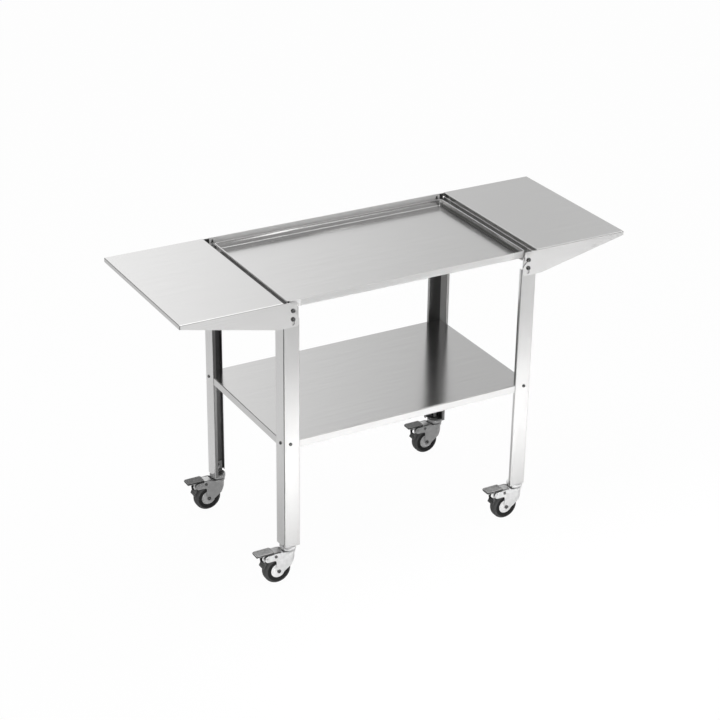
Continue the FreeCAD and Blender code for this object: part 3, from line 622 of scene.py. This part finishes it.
# %% Raised lips of the side rails
rail_rise = 4.5 * mm
lip_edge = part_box("left_side_rail")[1].z - 0.5 * mm
for side in sides:
    raised = [vertex for vertex in copies[side + "_side_rail"].data.vertices if vertex.co.z > lip_edge]
    for vertex in raised:
        vertex.co.z += rail_rise
    print(side, "rail raised at", len(raised), "points")

# %% [markdown]
# Everything turned on a lathe is a ring pushed along a profile: screws, nuts, washers, rivets, wheels.
# A Geometry Nodes recipe does that once for all of them. It starts from a circle of edges, pushes the
# circle out to the next ring, moves it there, and so on. A weld then joins rings that meet, and a ring as
# small as the pole becomes a single point, which closes that end. A hexagon is the same circle with a
# radius that changes with the angle. The recipe then sets the shape on every point of a small mesh,
# turned along the point's own aim.

# %% Recipes for turned pieces
pole = 0.01 * mm
weld_distance = 0.02 * mm


class Recipe(Board):
    """A Geometry Nodes tree with named sizes."""

    def __init__(self, name, labels):
        super().__init__(bpy.data.node_groups.new(name, "GeometryNodeTree"))
        self.labels = labels
        sockets = self.tree.interface
        sockets.new_socket("Geometry", in_out="INPUT", socket_type="NodeSocketGeometry")
        for label in labels:
            sockets.new_socket(label, in_out="INPUT", socket_type="NodeSocketFloat")
        sockets.new_socket("Spin", in_out="INPUT", socket_type="NodeSocketFloat")
        sockets.new_socket("Seed", in_out="INPUT", socket_type="NodeSocketInt")
        sockets.new_socket("Material", in_out="INPUT", socket_type="NodeSocketMaterial")
        sockets.new_socket("Geometry", in_out="OUTPUT", socket_type="NodeSocketGeometry")
        self.entry = self.tree.nodes.new("NodeGroupInput")
        self.spot = self.node("ShaderNodeSeparateXYZ", {}, {0: self.node("GeometryNodeInputPosition")})
        self.angle = self.spot.sum("ARCTAN2", self.spot.also("Y"), self.spot)
        self.cosine = self.angle.sum("COSINE", self.angle)
        self.sine = self.angle.sum("SINE", self.angle)

    def given(self, label):
        """The wire from one of the recipe's inputs."""
        return Wire(self, self.entry.outputs[label])

    def sizes(self):
        """The named sizes, in the order in which the recipe was given them."""
        return [self.given(label) for label in self.labels]

    def hexagon(self, flats):
        """Distance from the axis to a hexagon's edge, at the angle of each point."""
        sixth = full_turn / 6.0
        turn = self.angle.sum("MODULO", self.angle + full_turn, sixth) - 0.5 * sixth
        return 0.5 * flats / turn.sum("COSINE", turn)

    def turned(self, rings, steps):
        """Rings are the distance from the axis and the level, both sizes or sums of sizes."""
        mesh = self.node("GeometryNodeMeshCircle", {"fill_type": "NONE"}, {"Vertices": steps, "Radius": 1.0})
        moved = {}
        for index, (radius, level) in enumerate(rings):
            if index > 0:
                grow = {"Mesh": mesh, "Offset Scale": 0.0, **moved}
                mesh = self.node("GeometryNodeExtrudeMesh", {"mode": "EDGES"}, grow)
                moved = {"Selection": mesh.also("Top")}
            spot = self.node("ShaderNodeCombineXYZ", {}, {
                "X": self.cosine * radius, "Y": self.sine * radius, "Z": level})
            mesh = self.node("GeometryNodeSetPosition", {}, {"Geometry": mesh, "Position": spot, **moved})
        return self.welded(mesh)

    def welded(self, mesh):
        return self.node("GeometryNodeMergeByDistance", {}, {"Geometry": mesh, "Distance": weld_distance})

    def together(self, *shapes):
        joined = self.tree.nodes.new("GeometryNodeJoinGeometry")
        for shape in shapes:
            self.tree.links.new(shape.socket, joined.inputs[0])
        return Wire(self, joined.outputs[0])

    def lifted(self, shape, level):
        shift = self.node("ShaderNodeCombineXYZ", {}, {"Z": level})
        return self.node("GeometryNodeTransform", {}, {"Geometry": shape, "Translation": shift})

    def marked(self, shape, marked_share):
        """The shape with the attribute that tells its finish where its marked colour goes."""
        return self.node("GeometryNodeStoreNamedAttribute", {"data_type": "FLOAT", "domain": "POINT"}, {
            "Geometry": shape, "Name": lighter_mark, "Value": marked_share})

    def close(self, shape):
        """The shape on every point, along its aim, with a chance spin, as one plain mesh."""
        aim = self.node("GeometryNodeInputNamedAttribute", {"data_type": "FLOAT_VECTOR"}, {"Name": "aim"})
        facing = self.node("FunctionNodeAlignRotationToVector", {"axis": "Z"}, {"Vector": aim})
        chance = self.node("FunctionNodeRandomValue", {"data_type": "FLOAT"}, {
            2: 0.0, 3: self.given("Spin"), "Seed": self.given("Seed")}, output=1)
        spin = self.node("FunctionNodeAxisAngleToRotation", {}, {"Axis": (0.0, 0.0, 1.0), "Angle": chance})
        turn = self.node("FunctionNodeRotateRotation", {"rotation_space": "LOCAL"}, {
            "Rotation": facing, "Rotate By": spin})
        placed = self.node("GeometryNodeInstanceOnPoints", {}, {
            "Points": self.given("Geometry"), "Instance": shape, "Rotation": turn})
        real = self.node("GeometryNodeRealizeInstances", {}, {"Geometry": placed})
        painted = self.node("GeometryNodeSetMaterial", {}, {
            "Geometry": real, "Material": self.given("Material")})
        self.node("NodeGroupOutput", {}, {"Geometry": painted})


print("recipes ready")

# %% [markdown]
# A recipe is used through a modifier on a mesh that holds only points. Once the modifier has its sizes,
# its result is taken as a plain mesh and the modifier goes, because the export drops instances. Spinning
# a profile can leave faces that look inwards, so they are turned outwards before the edges are marked.

# %% Pieces from recipes
chance_seed = 7


def settle(piece):
    """Faces outwards, smooth shading, and sharp edges where the surface turns a corner."""
    shape = bmesh.new()
    shape.from_mesh(piece.data)
    bmesh.ops.recalc_face_normals(shape, faces=shape.faces[:])
    shape.to_mesh(piece.data)
    shape.free()
    piece.data.shade_smooth()
    piece.data.set_sharp_from_angle(angle=edge_angle)


def follow(name, spots, recipe, sizes, material, spin=full_turn):
    """One plain mesh of the recipe's shape at every spot, a place and an aim."""
    mesh = bpy.data.meshes.new(name)
    mesh.from_pydata([place for place, aim in spots], [], [])
    aims = mesh.attributes.new("aim", "FLOAT_VECTOR", "POINT")
    for entry, (place, aim) in zip(aims.data, spots):
        entry.vector = aim
    piece = bpy.data.objects.new(name, mesh)
    bpy.context.scene.collection.objects.link(piece)
    modifier = piece.modifiers.new(name, "NODES")
    modifier.node_group = recipe.tree
    values = {"Spin": spin, "Seed": chance_seed, "Material": material, **sizes}
    for item in recipe.tree.interface.items_tree:
        if item.in_out == "INPUT" and item.name in values:
            modifier[item.identifier] = values[item.name]
    as_plain_mesh(piece, modifier)
    settle(piece)
    return piece


def arc(steps, turns=0.25):
    """Cosine and sine at even steps round a part of a full turn, a quarter of it by default."""
    leans = [turns * full_turn * step / steps for step in range(steps + 1)]
    return [(math.cos(lean), math.sin(lean)) for lean in leans]


def both_sides(near):
    """A closed profile: the near half, the same half mirrored, and the first ring again."""
    far = [(radius, -level) for radius, level in reversed(near)]
    return near + far + [near[0]]


print("recipe helpers ready, seed", chance_seed)

# %% [markdown]
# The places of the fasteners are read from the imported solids, so they can't drift: a group such as the
# washers is one node, and each of its separate solids has a box of its own. A screw lies along the
# longest side of its box and a nut or a washer along the shortest.

# %% Where the fasteners are
def solids_of(node):
    """The lowest and highest corner of each separate solid in a node, in a fixed order."""
    shape = bmesh.new()
    shape.from_mesh(nodes[node].data)
    bmesh.ops.remove_doubles(shape, verts=shape.verts[:], dist=join_distance)
    boxes = []
    seen = set()
    for start in shape.verts:
        if start in seen:
            continue
        seen.add(start)
        waiting = [start]
        places = []
        while waiting:
            vertex = waiting.pop()
            places.append(vertex.co.copy())
            for edge in vertex.link_edges:
                other = edge.other_vert(vertex)
                if other not in seen:
                    seen.add(other)
                    waiting.append(other)
        low = Vector([min(place[axis] for place in places) for axis in range(3)])
        high = Vector([max(place[axis] for place in places) for axis in range(3)])
        boxes.append((low, high))
    shape.free()
    return sorted(boxes, key=lambda box: [round(value, 4) for value in box[0]])


def along(low, high, pick):
    """The axis of a box's longest or shortest side, picked by max or by min."""
    spans = high - low
    return pick(range(3), key=lambda axis: spans[axis])


def seat(low, high, axis, way, rise=None):
    """Where a piece stands, its top at the end of the box that looks one way along an axis."""
    aim = Vector((0.0, 0.0, 0.0))
    aim[axis] = way
    place = 0.5 * (low + high)
    place[axis] = high[axis] if way > 0.0 else low[axis]
    return place - aim * (high[axis] - low[axis] if rise is None else rise), aim


def outward(low, high, axis):
    """Which way along an axis leads from the middle of the cart to the box."""
    return 1.0 if low[axis] + high[axis] > 0.0 else -1.0


print("washers", len(solids_of("hinge_washers")), "small nuts", len(solids_of("small_nuts")))

# %% [markdown]
# The screws and the hinge bolts have button heads with a hexagon socket. On the cart they are the small
# dark dots on the legs and at the shelf hinges. A dome in seven rings with a real socket catches a
# small highlight as they do.

# %% Button head screws
dome_steps = 6
flat_share = 0.62
wall_share = 0.28
button = Recipe("button_screw", [
    "Head Radius", "Head Height", "Socket Width", "Shank Radius", "Shank Length"])
head_radius, head_height, socket_width, shank_radius, shank_length = button.sizes()
socket = button.hexagon(socket_width)
screw_rings = [
    (pole, -shank_length), (0.75 * shank_radius, -shank_length),
    (shank_radius, 0.25 * shank_radius - shank_length), (shank_radius, 0.0),
    (0.96 * head_radius, 0.0), (head_radius, 0.12 * head_height)]
for cosine, sine in arc(dome_steps):
    screw_rings.append((
        head_radius * (flat_share + (1.0 - flat_share) * cosine),
        head_height * (wall_share + (1.0 - wall_share) * sine)))
screw_rings += [
    (1.04 * socket, head_height), (socket, 0.92 * head_height), (socket, 0.45 * head_height),
    (pole, 0.38 * head_height)]
button.close(button.turned(screw_rings, steps=36))

small_head = {"Head Radius": 4.75 * mm, "Head Height": 2.75 * mm, "Socket Width": 3.0 * mm,
              "Shank Radius": 2.5 * mm}
hinge_head = {"Head Radius": 5.5 * mm, "Head Height": 3.3 * mm, "Socket Width": 4.0 * mm,
              "Shank Radius": 3.0 * mm}
outwards = 1.0
inwards = -1.0


def set_screws(name, node, sizes, sense=outwards):
    """Screws with their heads outwards or inwards, as long as the shortest of their solids."""
    spots = []
    lengths = []
    for low, high in solids_of(node):
        axis = along(low, high, max)
        spots.append(seat(low, high, axis, sense * outward(low, high, axis), sizes["Head Height"]))
        lengths.append(high[axis] - low[axis] - sizes["Head Height"])
    piece = follow(name, spots, button, {**sizes, "Shank Length": min(lengths)}, turned_steel)
    stand_in(piece, node)
    return piece


screw_pieces = [
    set_screws("shelf_screws", "lower_shelf_screws", small_head),
    set_screws("rail_screws", "rear_rail_screws", small_head, inwards),
    set_screws("hinge_pivot_bolts", "pivot_bolts", hinge_head),
    set_screws("hinge_lock_bolts", "lock_bolts", hinge_head)]
print("screws", [(piece.name, len(piece.data.polygons)) for piece in screw_pieces])

# %% [markdown]
# Washers lie under the hinge bolts. Their edges are broken a little, so each shows a fine bright line.

# %% Washers
washer = Recipe("washer", ["Radius", "Bore", "Thickness"])
rim, bore, thickness = washer.sizes()
broken = 0.15 * thickness
washer.close(washer.turned([
    (bore, 0.0), (rim - broken, 0.0), (rim, broken), (rim, thickness - broken), (rim - broken, thickness),
    (bore, thickness), (bore, 0.0)], steps=40))


def set_flat(name, node, recipe, sizes, sense):
    """Pieces that lie along the shortest side of their boxes, facing outwards or inwards."""
    spots = []
    for low, high in solids_of(node):
        axis = along(low, high, min)
        spots.append(seat(low, high, axis, sense * outward(low, high, axis)))
    piece = follow(name, spots, recipe, sizes, turned_steel)
    stand_in(piece, node)
    return piece


washers = set_flat("hinge_bolt_washers", "hinge_washers", washer, {
    "Radius": 6.0 * mm, "Bore": 3.2 * mm, "Thickness": 1.0 * mm}, outwards)
print("washers", len(washers.data.polygons))

# %% [markdown]
# Plain nuts hold the lower shelf, the tray and the caster brackets, and a larger one holds each caster's
# stem. A nut is a hexagon whose corners are turned away at both ends, so each end shows a circle. The
# hinge bolts end in domed nuts, the same hexagon with a dome over a blind hole.

# %% Nuts
end_share = 0.475
turned_share = 0.527
corner_share = 0.03
nut_steps = 48


def hexagon_rings(recipe, flats, low, high):
    """The outside of a hexagon with turned corners, from one end to the other."""
    edge = recipe.hexagon(flats)
    turned_edge = edge.least(turned_share * flats)
    step = corner_share * flats
    return [(end_share * flats, low), (turned_edge, low + step), (edge, low + 2.0 * step),
            (edge, high - 2.0 * step), (turned_edge, high - step), (end_share * flats, high)]


plain_nut = Recipe("plain_nut", ["Flats", "Height", "Bore"])
flats, nut_height, bore = plain_nut.sizes()
broken = 0.15 * bore
plain_nut.close(plain_nut.turned(
    [(bore, broken), (bore + broken, 0.0)] + hexagon_rings(plain_nut, flats, 0.0, nut_height)
    + [(bore + broken, nut_height), (bore, nut_height - broken), (bore, broken)], nut_steps))

domed_nut = Recipe("domed_nut", ["Flats", "Hexagon Height", "Height", "Bore"])
flats, hexagon_height, nut_height, bore = domed_nut.sizes()
hole_end = 0.8 * nut_height
dome_radius = 0.43 * flats
dome_rings = []
for cosine, sine in arc(dome_steps):
    dome_rings.append((
        pole + dome_radius * cosine, hexagon_height + (nut_height - hexagon_height) * sine))
domed_nut.close(domed_nut.turned(
    [(pole, hole_end), (bore, hole_end), (bore, 0.0)]
    + hexagon_rings(domed_nut, flats, 0.0, hexagon_height) + dome_rings, nut_steps))

small_nuts = set_flat("small_plain_nuts", "small_nuts", plain_nut, {
    "Flats": 8.0 * mm, "Height": 4.0 * mm, "Bore": 2.5 * mm}, inwards)
stem_nuts = set_flat("caster_stem_nuts", "stem_nuts", plain_nut, {
    "Flats": 16.0 * mm, "Height": 8.0 * mm, "Bore": 5.05 * mm}, outwards)
hinge_nuts = set_flat("hinge_domed_nuts", "hinge_nuts", domed_nut, {
    "Flats": 10.0 * mm, "Hexagon Height": 5.0 * mm, "Height": 9.0 * mm, "Bore": 3.0 * mm}, inwards)
print("nuts", [len(piece.data.polygons) for piece in (small_nuts, stem_nuts, hinge_nuts)])

# %% [markdown]
# Rivets hold the side rails to the legs, two at each corner. A rivet is a pin with a low dome at both
# ends, so its profile is one dome, the shank and the same dome again.

# %% Rivets
rivet = Recipe("rivet", ["Head Radius", "Head Height", "Shank Radius", "Grip"])
head_radius, head_height, shank_radius, grip = rivet.sizes()
near_cap = [(pole + head_radius * cosine, head_height * sine) for cosine, sine in arc(steps=5)]
far_cap = [(radius, -grip - level) for radius, level in reversed(near_cap)]
rivet.close(rivet.turned(far_cap + [(shank_radius, -grip), (shank_radius, 0.0)] + near_cap, steps=28))

rivet_sizes = {"Head Radius": 3.6 * mm, "Head Height": 1.4 * mm, "Shank Radius": 2.0 * mm, "Grip": 4.0 * mm}
across_cart = 0
rivet_spots = []
for low, high in solids_of("rail_rivets"):
    way = outward(low, high, across_cart)
    rivet_spots.append(seat(low, high, across_cart, way, rivet_sizes["Head Height"]))
rivets = follow("side_rail_rivets", rivet_spots, rivet, rivet_sizes, turned_steel)
stand_in(rivets, "rail_rivets")
print("rivets", len(rivet_spots), "with", len(rivets.data.polygons), "faces")

# %% [markdown]
# A swivel head is turned steel: a thick disc with a groove for the balls, a pin with a riveted end
# below, and a threaded stem above that goes up into the leg. The thread is a spiral with a small round
# section, wound on a stem of the root diameter.

# %% Swivel heads
swivel = Recipe("swivel_head", [
    "Radius", "Height", "Race Radius", "Race Width", "Race Depth", "Pin Radius", "Pin Length",
    "Flange Radius", "Flange Height", "Stem Radius", "Stem Length", "Pitch"])
(disc, disc_height, race, race_width, race_depth, pin, pin_length, flange, flange_height, stem, stem_length,
 pitch) = swivel.sizes()
ridge_radius = 0.3 * pitch
root = stem - ridge_radius
thread_length = stem_length - 1.5 * pitch
stem_end = disc_height + stem_length
swivel_rings = [
    (pole, -pin_length), (0.85 * flange, -pin_length), (flange, 0.15 * flange - pin_length),
    (flange, flange_height - pin_length), (pin, flange_height - pin_length), (pin, 0.0)]
for cosine, sine in arc(steps=6, turns=0.5):
    swivel_rings.append((race - 0.5 * race_width * cosine, race_depth * sine))
swivel_rings += [
    (0.94 * disc, 0.0), (0.98 * disc, 0.02 * disc), (disc, 0.06 * disc), (disc, disc_height - 0.13 * disc),
    (0.985 * disc, disc_height - 0.065 * disc), (0.94 * disc, disc_height - 0.017 * disc),
    (0.87 * disc, disc_height), (root, disc_height), (root, stem_end - 0.2 * stem), (0.7 * stem, stem_end),
    (pole, stem_end)]
turned_head = swivel.turned(swivel_rings, steps=56)
spiral = swivel.node("GeometryNodeCurveSpiral", {}, {
    "Resolution": 24, "Rotations": thread_length / pitch, "Start Radius": root, "End Radius": root,
    "Height": thread_length})
ridge = swivel.node("GeometryNodeCurvePrimitiveCircle", {"mode": "RADIUS"}, {
    "Resolution": 6, "Radius": ridge_radius})
thread = swivel.node("GeometryNodeCurveToMesh", {}, {
    "Curve": spiral, "Profile Curve": ridge, "Fill Caps": True})
swivel.close(swivel.together(turned_head, swivel.lifted(thread, disc_height + 0.5 * pitch)))

swivel_sizes = {
    "Radius": 23.0 * mm, "Height": 10.5 * mm, "Race Radius": 14.5 * mm, "Race Width": 5.1 * mm,
    "Race Depth": 1.35 * mm, "Pin Radius": 6.0 * mm, "Pin Length": 10.3 * mm, "Flange Radius": 9.0 * mm,
    "Flange Height": 4.0 * mm, "Stem Radius": 5.0 * mm, "Stem Length": 22.0 * mm, "Pitch": 1.5 * mm}
upright = Vector((0.0, 0.0, 1.0))


def set_upright(part, way_made, recipe, sizes, material, rise=0.0, spin=full_turn):
    """One piece on each caster, upright in the middle of its solid, at a rise from the solid's foot."""
    for corner in corners:
        node = corner + part
        low, high = solids_of(node)[0]
        foot = 0.5 * (low + high)
        foot.z = low.z + rise
        piece = follow(node + way_made, [(foot, upright)], recipe, sizes, material, spin)
        stand_in(piece, node)
        print(piece.name, "faces", len(piece.data.polygons))


set_upright("_swivel_head", "_turned", swivel, swivel_sizes, zinc_plate, rise=swivel_sizes["Pin Length"])

# %% [markdown]
# A wheel is a rubber tyre moulded round a plastic centre. The tyre has a flat dark side and a round
# shoulder that runs into the tread. An attribute marks the shoulder and the tread, which the rubber's
# finish makes lighter: it rises with the distance from the axle.

# %% Tyres
tyre = Recipe("tyre", ["Radius", "Half Width", "Shoulder", "Bead Radius", "Seat Radius", "Seat Half"])
tread, half, shoulder, bead, seat_radius, seat_half = tyre.sizes()
bead_break = 0.05 * half
near_side = [
    (seat_radius, -seat_half), (bead, -seat_half), (bead, bead_break - half), (bead + bead_break, -half)]
for cosine, sine in arc(steps=8):
    near_side.append((tread - shoulder * (1.0 - sine), shoulder * (1.0 - cosine) - half))
tyre_shape = tyre.turned(both_sides(near_side), steps=96)
reach = tyre.spot.sum("SQRT", tyre.spot * tyre.spot + tyre.spot.also("Y") * tyre.spot.also("Y"))
marked_from = tread - 0.95 * shoulder
marked_blend = 0.2 * shoulder
tyre.close(tyre.marked(tyre_shape, ((reach - marked_from) / marked_blend).clamped()))
tyre_sizes = {"Radius": 40.0 * mm, "Half Width": 14.0 * mm, "Shoulder": 9.0 * mm, "Bead Radius": 21.5 * mm,
              "Seat Radius": 24.1 * mm, "Seat Half": 12.1 * mm}
print("tyre profile", len(near_side), "rings on each side")

# %% [markdown]
# The wheel centre has a boss for the axle, and two shallow rings moulded into each face. It is one half
# profile, used forwards for the near face and backwards for the far one.

# %% Wheel centres
centre = Recipe("wheel_centre", [
    "Rim Radius", "Rim Half", "Face Radius", "Boss Radius", "Boss Half", "Bore"])
rim, rim_half, face, boss, boss_half, bore = centre.sizes()
groove = 0.08 * rim_half
web = 0.93 * rim_half
near_face = [(bore, -boss_half), (0.9 * boss, -boss_half), (boss, 0.1 * boss - boss_half),
             (1.02 * boss, -web - groove), (1.1 * boss, -web)]
for share in (0.66, 0.84):
    near_face += [((share - 0.02) * face, -web), (share * face, groove - web),
                  ((share + 0.04) * face, groove - web), ((share + 0.06) * face, -web)]
near_face += [(0.95 * face, -web), (face, -rim_half), (rim, -rim_half)]
centre.close(centre.turned(both_sides(near_face), steps=72))
centre_sizes = {"Rim Radius": 24.0 * mm, "Rim Half": 12.0 * mm, "Face Radius": 21.3 * mm,
                "Boss Radius": 9.0 * mm, "Boss Half": 15.2 * mm, "Bore": 4.2 * mm}

axle_way = Vector((0.0, 1.0, 0.0))
axle_of = {}
for corner in corners:
    low, high = solids_of(corner + "_tyre")[0]
    axle_of[corner] = 0.5 * (low + high)
    for part, recipe, sizes, material in (
            ("_tyre", tyre, tyre_sizes, tyre_rubber), ("_wheel_hub", centre, centre_sizes, hub_plastic)):
        piece = follow(corner + part + "_turned", [(axle_of[corner], axle_way)], recipe, sizes, material)
        stand_in(piece, corner + part)
print("wheels", len(axle_of))

# %% [markdown]
# The axle bolt and the spring post are darker than the rest of a fork's pins, so their faces in the
# smooth copy take the turned steel.

# %% Axle bolts and spring posts
pin_gap = 20.0 * mm
for corner in corners:
    pins = copies[corner + "_fork_pins"]
    pins.data.materials.append(turned_steel)
    dark = [shape for shape in pins.data.polygons if shape.center.x > axle_of[corner].x - pin_gap]
    for shape in dark:
        shape.material_index = 1
    print(pins.name, "dark faces", len(dark))

# %% [markdown]
# The pedal is a ribbed plastic tread on the end of the brake lever. A rounded outline is filled and
# pushed up to make the base, and the same steps with other sizes make one rib, which is set on a short
# line of points. The top and the ribs are marked, for a colour that is worn where a shoe treads on them
# and painted lighter for the light from above.

# %% Pedal treads
pedal = Recipe("pedal_tread", ["Length", "Width", "Base", "Rib Height", "Rib Width", "Ribs", "Corner"])
pedal_length, pedal_width, base_height, rib_height, rib_width, ribs, rounding = pedal.sizes()
wall_part = 0.8


def slab(recipe, length, width, height, corner_radius, shrink):
    """A rounded plate with an upright wall and its top edge sloped in."""
    outline = recipe.node("GeometryNodeCurvePrimitiveQuadrilateral", {"mode": "RECTANGLE"}, {
        "Width": length, "Height": width})
    outline = recipe.node("GeometryNodeFilletCurve", {"mode": "POLY"}, {
        "Curve": outline, "Radius": corner_radius, "Count": 5})
    plate = recipe.node("GeometryNodeFillCurve", {"mode": "NGONS"}, {"Curve": outline})
    grown = recipe.node("GeometryNodeExtrudeMesh", {"mode": "FACES"}, {
        "Mesh": plate, "Offset Scale": wall_part * height, "Individual": False})
    sloped = recipe.node("GeometryNodeExtrudeMesh", {"mode": "FACES"}, {
        "Mesh": grown, "Offset Scale": (1.0 - wall_part) * height, "Individual": False,
        "Selection": grown.also("Top")})
    sloped = recipe.node("GeometryNodeScaleElements", {"domain": "FACE"}, {
        "Geometry": sloped, "Scale": shrink, "Selection": sloped.also("Top")})
    under = recipe.node("GeometryNodeFlipFaces", {}, {"Mesh": plate})
    return recipe.welded(recipe.together(sloped, under))


base = slab(pedal, pedal_length, pedal_width, base_height, corner_radius=rounding, shrink=0.97)
rib = slab(pedal, pedal_length - 2.0 * rounding, rib_width, rib_height, corner_radius=0.3 * rib_width,
           shrink=0.94)
rib_gaps = ribs - 1.0
rib_pitch = (pedal_width - 1.6 * rib_width) / rib_gaps
first_rib = pedal.node("ShaderNodeCombineXYZ", {}, {"Y": -0.5 * rib_pitch * rib_gaps})
next_rib = pedal.node("ShaderNodeCombineXYZ", {}, {"Y": rib_pitch})
rib_points = pedal.node("GeometryNodeMeshLine", {"mode": "OFFSET"}, {
    "Count": ribs, "Start Location": first_rib, "Offset": next_rib})
rib_row = pedal.node("GeometryNodeInstanceOnPoints", {}, {"Points": rib_points, "Instance": rib})
rib_row = pedal.node("GeometryNodeRealizeInstances", {}, {"Geometry": rib_row})
ribbed = pedal.together(base, pedal.lifted(rib_row, base_height))
pedal.close(pedal.marked(ribbed, pedal.spot.also("Z").over(0.9 * base_height)))

pedal_sizes = {"Length": 53.0 * mm, "Width": 30.0 * mm, "Base": 4.3 * mm, "Rib Height": 1.2 * mm,
               "Rib Width": 2.6 * mm, "Ribs": 6.0, "Corner": 3.0 * mm}
set_upright("_pedal_tread", "_ribbed", pedal, pedal_sizes, pedal_plastic, spin=0.0)

# %% [markdown]
# The cart stands on a plain white studio floor. What the camera sees of the floor is mostly flat white,
# with a share of its real shading, so that the shadow stays; what the steel mirrors is mostly the real
# shading. To the front left of the cart the floor has painted shade in reflections alone, so that the
# steel there has something dark to mirror beside the white.

# %% Floor
floor_half = 9.0
floor_pale = grey(0.86)
floor_painted_shade = grey(0.10)
white = grey(1.0)
dark_from = -0.36
dark_blend = 0.16
white_seen = 0.97
white_mirrored = 0.12

floor_mesh = bpy.data.meshes.new("floor")
floor_mesh.from_pydata(
    [(-floor_half, -floor_half, 0.0), (floor_half, -floor_half, 0.0),
     (floor_half, floor_half, 0.0), (-floor_half, floor_half, 0.0)], [], [(0, 1, 2, 3)])
floor = bpy.data.objects.new("floor", floor_mesh)
bpy.context.scene.collection.objects.link(floor)

floor_material = bpy.data.materials.new("pale_floor")
floor_material.use_nodes = True
floor_board = Board(floor_material.node_tree)
rays = floor_board.node("ShaderNodeLightPath", output="Is Camera Ray")
mirror_rays = rays.also("Is Glossy Ray")
floor_place = floor_board.place()
# Painted shade on the floor to the front left, which only reflections see.
near_left = ((dark_from - floor_place) / dark_blend).clamped() * floor_place.also("Y").under(dark_from)
painted_shade_share = near_left * mirror_rays
paint = floor_board.node("ShaderNodeBsdfDiffuse", {}, {
    "Color": floor_board.mixed(painted_shade_share, floor_pale, floor_painted_shade)})
glow = floor_board.node("ShaderNodeEmission", {}, {
    "Color": floor_board.mixed(painted_shade_share, white, floor_painted_shade)})
white_share = white_seen * rays + white_mirrored * mirror_rays
white_share = white_share + white_mirrored * rays.also("Is Transmission Ray")
floor_look = floor_board.node("ShaderNodeMixShader", {}, {0: white_share, 1: paint, 2: glow})
floor_board.node("ShaderNodeOutputMaterial", {}, {"Surface": floor_look})
floor_mesh.materials.append(floor_material)
print("floor", 2.0 * floor_half, "metres wide")

# %% [markdown]
# The room is plain too, but the steel mirrors a paler and a darker side of it under a bright ceiling,
# and that is what tells one face of bare metal from the next. Painted backdrops would do the same with
# more objects. Here the world itself has a level for each bearing, in degrees from the rear towards the
# right. Only reflections see it, and so would rays through glass: the camera sees white, and the matt
# pieces an even soft light.

# %% Room
wall_levels = {
    -180: 0.38, -150: 0.55, -75: 0.58, -45: 0.28, -29: 0.12, 0: 0.95, 12: 1.11, 21: 1.11, 33: 0.61,
    44: 0.67, 100: 0.58, 140: 0.38, 180: 0.38}
ceiling_level = 2.2
ceiling_from = 0.77
ceiling_blend = 0.08
soft_level = 0.55

world = bpy.data.worlds.new("studio")
bpy.context.scene.world = world
world.use_nodes = True
room = Board(world.node_tree)
path = room.node("ShaderNodeLightPath", output="Is Camera Ray")
mirrored = path.also("Is Glossy Ray").most(path.also("Is Transmission Ray"))
way = room.node("ShaderNodeSeparateXYZ", {}, {0: room.node("ShaderNodeTexCoord", output="Generated")})
bearing = way.sum("ARCTAN2", way, way.also("Y")) / full_turn + 0.5
walls = room.ramp(bearing, [(turn / 360.0 + 0.5, grey(level)) for turn, level in wall_levels.items()])
overhead = ((way.also("Z") - ceiling_from) / ceiling_blend).clamped()
around = room.mixed(overhead, walls, grey(ceiling_level))
shade = room.mixed(mirrored, grey(soft_level), around)
sky = room.node("ShaderNodeBackground", {}, {"Color": room.mixed(path, shade, white), "Strength": 1.0})
room.node("ShaderNodeOutputWorld", {}, {"Surface": sky})
print("room with", len(wall_levels), "levels")

# %% [markdown]
# Four soft lamps light the floor, the rubber and the plastics: one overhead, a key lamp low at the front
# left, and two narrow ones that brighten strips of the floor in front, which the steel then mirrors. All
# are hidden from reflections, so that the steel shows the room and no lamp.

# %% Lamps
def soft_lamp(name, where, aim, width, height, power, spread=180.0):
    """An area lamp, with its power in watts and its spread in degrees."""
    data = bpy.data.lights.new(name, "AREA")
    data.shape = "RECTANGLE"
    data.size = width
    data.size_y = height
    data.energy = power
    data.spread = math.radians(spread)
    lamp = bpy.data.objects.new(name, data)
    bpy.context.scene.collection.objects.link(lamp)
    lamp.location = where
    lamp.visible_glossy = False
    lamp.rotation_euler = (Vector(aim) - Vector(where)).to_track_quat("-Z", "Y").to_euler()
    return lamp


lamps = [
    soft_lamp("top_lamp", where=(-0.2, 0.3, 2.6), aim=(-0.2, 0.3, 0.0),
              width=1.4, height=1.4, power=18.0),
    soft_lamp("key_lamp", where=(-1.4, -3.0, 1.0), aim=(-0.2, 0.0, 0.3),
              width=1.2, height=1.2, power=44.0),
    soft_lamp("front_lamp", where=(0.5, -0.84, 2.2), aim=(0.5, -0.84, 0.0),
              width=2.2, height=0.4, power=4.8, spread=36.0),
    soft_lamp("side_lamp", where=(1.6, -1.72, 2.2), aim=(1.6, -1.72, 0.0),
              width=0.8, height=0.4, power=1.5, spread=36.0)]
print("lamps", [lamp.name for lamp in lamps])
